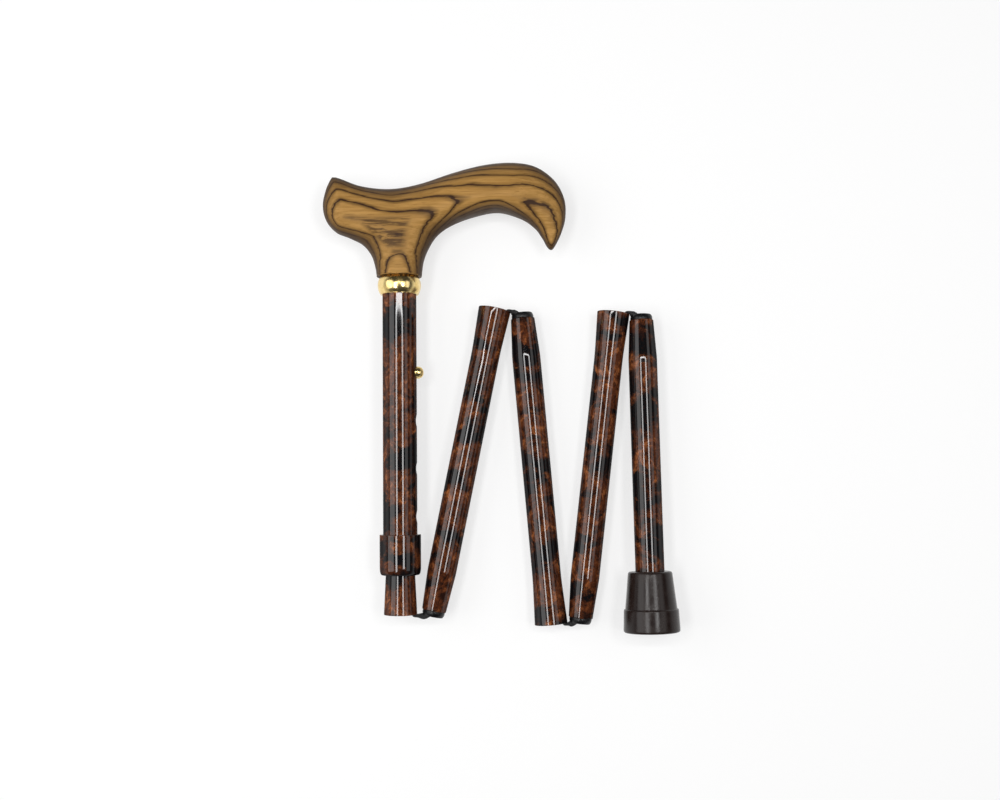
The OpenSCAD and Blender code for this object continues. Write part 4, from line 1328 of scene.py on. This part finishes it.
# Share of its thickness that the cord keeps at each point of its route
FLATS = np.array([1, 1, 1, 0.8, 0.55, 0.5, 0.66, 1.15, 0.85, 1, 1])
OVER = FLATS.min() * CORD_R + RIM_ROOM
WALL_AT = SOCKET_R - OVER


def bend_route(k):
    """Points from inside section k's mouth, along its wall, over the rim and into the next plug."""
    start, axes = SEATS[k]
    out, into = axes[2], SEATS[k + 1][1][2]
    high = span("adjuster_tube" if k == 1 else f"tube_{k}", k)[1]
    mouth, face = start + high * out, SEATS[k + 1][0]
    lean = unit((face - mouth) - out * ((face - mouth) @ out))
    toward = unit(into * (into @ out) - out)
    # Places along out and lean from the mouth, then along toward and into from the plug's face
    from_mouth = [
        (-CORD_STOP, 0), (3 - CORD_STOP, 0.2), (-CORD_STOP / 2, 0.45 * WALL_AT),
        (-5, 0.85 * WALL_AT), (0, WALL_AT), (OVER, SOCKET_R - RIM_ROOM), (OVER, MOUTH_R + RIM_PAST),
    ]
    from_face = [
        (BELL_R, -0.6), (BEND_ASIDE, 0.6), (0.3 * BEND_ASIDE, 0.75 * BELL_DEPTH), (0, BEND_DIVE),
    ]
    rows = [mouth + np.array(from_mouth) @ [out, lean], face + np.array(from_face) @ [toward, into]]
    return np.concatenate(rows), mouth, lean, face, toward


def make_bend(k):
    """The loop in two pieces that meet over the rim."""
    route, mouth, lean, face, toward = bend_route(k)
    across = np.cross(SEATS[k][1][2], lean)
    world = np.zeros(3), np.eye(3)
    for name, body, low, high, anchor, axis in [
        (f"cord_bend_{k}", f"link_{k}", 0, RIM_SPLIT, mouth, lean),
        (f"cord_turn_{k}", f"section_{k + 1}", RIM_SPLIT, len(route) - 1, face, toward),
    ]:
        fine = curve_at(np.column_stack([route, FLATS]), np.linspace(low, high, ROUTE_FINE))
        length = walked(fine[:, :3])
        even = np.linspace(0, length[-1], int(length[-1] / (ROW_MM / 2)))
        path = np.column_stack([np.interp(even, length, column) for column in fine.T])
        shell, uv = swept(path[:, :3], across, path[:, 3])
        stands_for = [f"cord_bend_{k}"] if body.startswith("link") else ()
        made = piece(name, shell, world, body, ELASTIC, stands_for, uv=uv)
        axis, anchor = axis.tolist(), (anchor * MM).tolist()
        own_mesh(made)


for k in (1, 2, 3, 4):
    make_bend(k)

# %% [markdown]
# ## Knots
# The elastic ends in an overhand knot at each anchor. A trefoil is that knot with its ends
# joined: the path goes twice round while it goes three times in and out, and three times up and
# down.

# %% Knots
KNOT_R, KNOT_SPREAD, KNOT_YARN_R, KNOT_ROOM = 1.75, 0.88, 0.84, 1.02
KNOT_STEPS, KNOT_SIDES, KNOT_ROWS = 240, CORD_SIDES // 2, 40


def knot_shell(low, high):
    """A cord along the trefoil ((2 + cos 3t) cos 2t, (2 + cos 3t) sin 2t, sin 3t), made to fit."""
    t = np.arange(KNOT_STEPS) * 2 * math.pi / KNOT_STEPS
    reach = KNOT_R + KNOT_SPREAD * np.cos(3 * t)
    rise = (high - low) / 2 - KNOT_YARN_R * KNOT_ROOM
    z = (low + high) / 2 + rise * np.sin(3 * t)
    path = np.column_stack([reach * np.cos(2 * t), reach * np.sin(2 * t), z])
    ahead = unit(np.roll(path, -1, 0) - np.roll(path, 1, 0))
    side = unit(np.cross([0, 0, 1.0], ahead))
    up = np.cross(ahead, side)
    a = np.arange(KNOT_SIDES) * 2 * math.pi / KNOT_SIDES
    ring = np.cos(a)[None, :, None] * side[:, None] + np.sin(a)[None, :, None] * up[:, None]
    points = (path[:, None] + KNOT_YARN_R * ring).reshape(-1, 3)
    return points, quads(KNOT_STEPS, KNOT_SIDES, wrap_rows=True)


def make_knot(name, k, body):
    """A knot in the space of its solid. Its UV counts yarns as the cord's does."""
    shell = knot_shell(*span(name, k))
    uv = cell_uv(KNOT_STEPS + 1, KNOT_SIDES, YARNS, KNOT_ROWS)
    piece(name, shell, SEATS[k], body, ELASTIC, [name], uv=uv)


make_knot("top_knot", 1, "adjuster")
make_knot("bottom_knot", 5, "section_5")

# %% [markdown]
# ## Pieces that stay hidden
# Dowel, screw, bush, anchors and washer are plain turned pieces inside the tubes. Their packed
# solids are already right, so they only get their finish.

# %% Finishes for the hidden pieces
HIDDEN = {
    "handle_dowel": DOWEL_WOOD, "handle_screw": STEEL, "lock_bush": PLASTIC,
    "top_anchor": PLASTIC, "bottom_anchor": PLASTIC, "foot_washer": STEEL,
}
for name, material in HIDDEN.items():
    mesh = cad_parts[name].data
    mesh.materials.clear()
    mesh.materials.append(material)
print("finished:", ", ".join(HIDDEN))
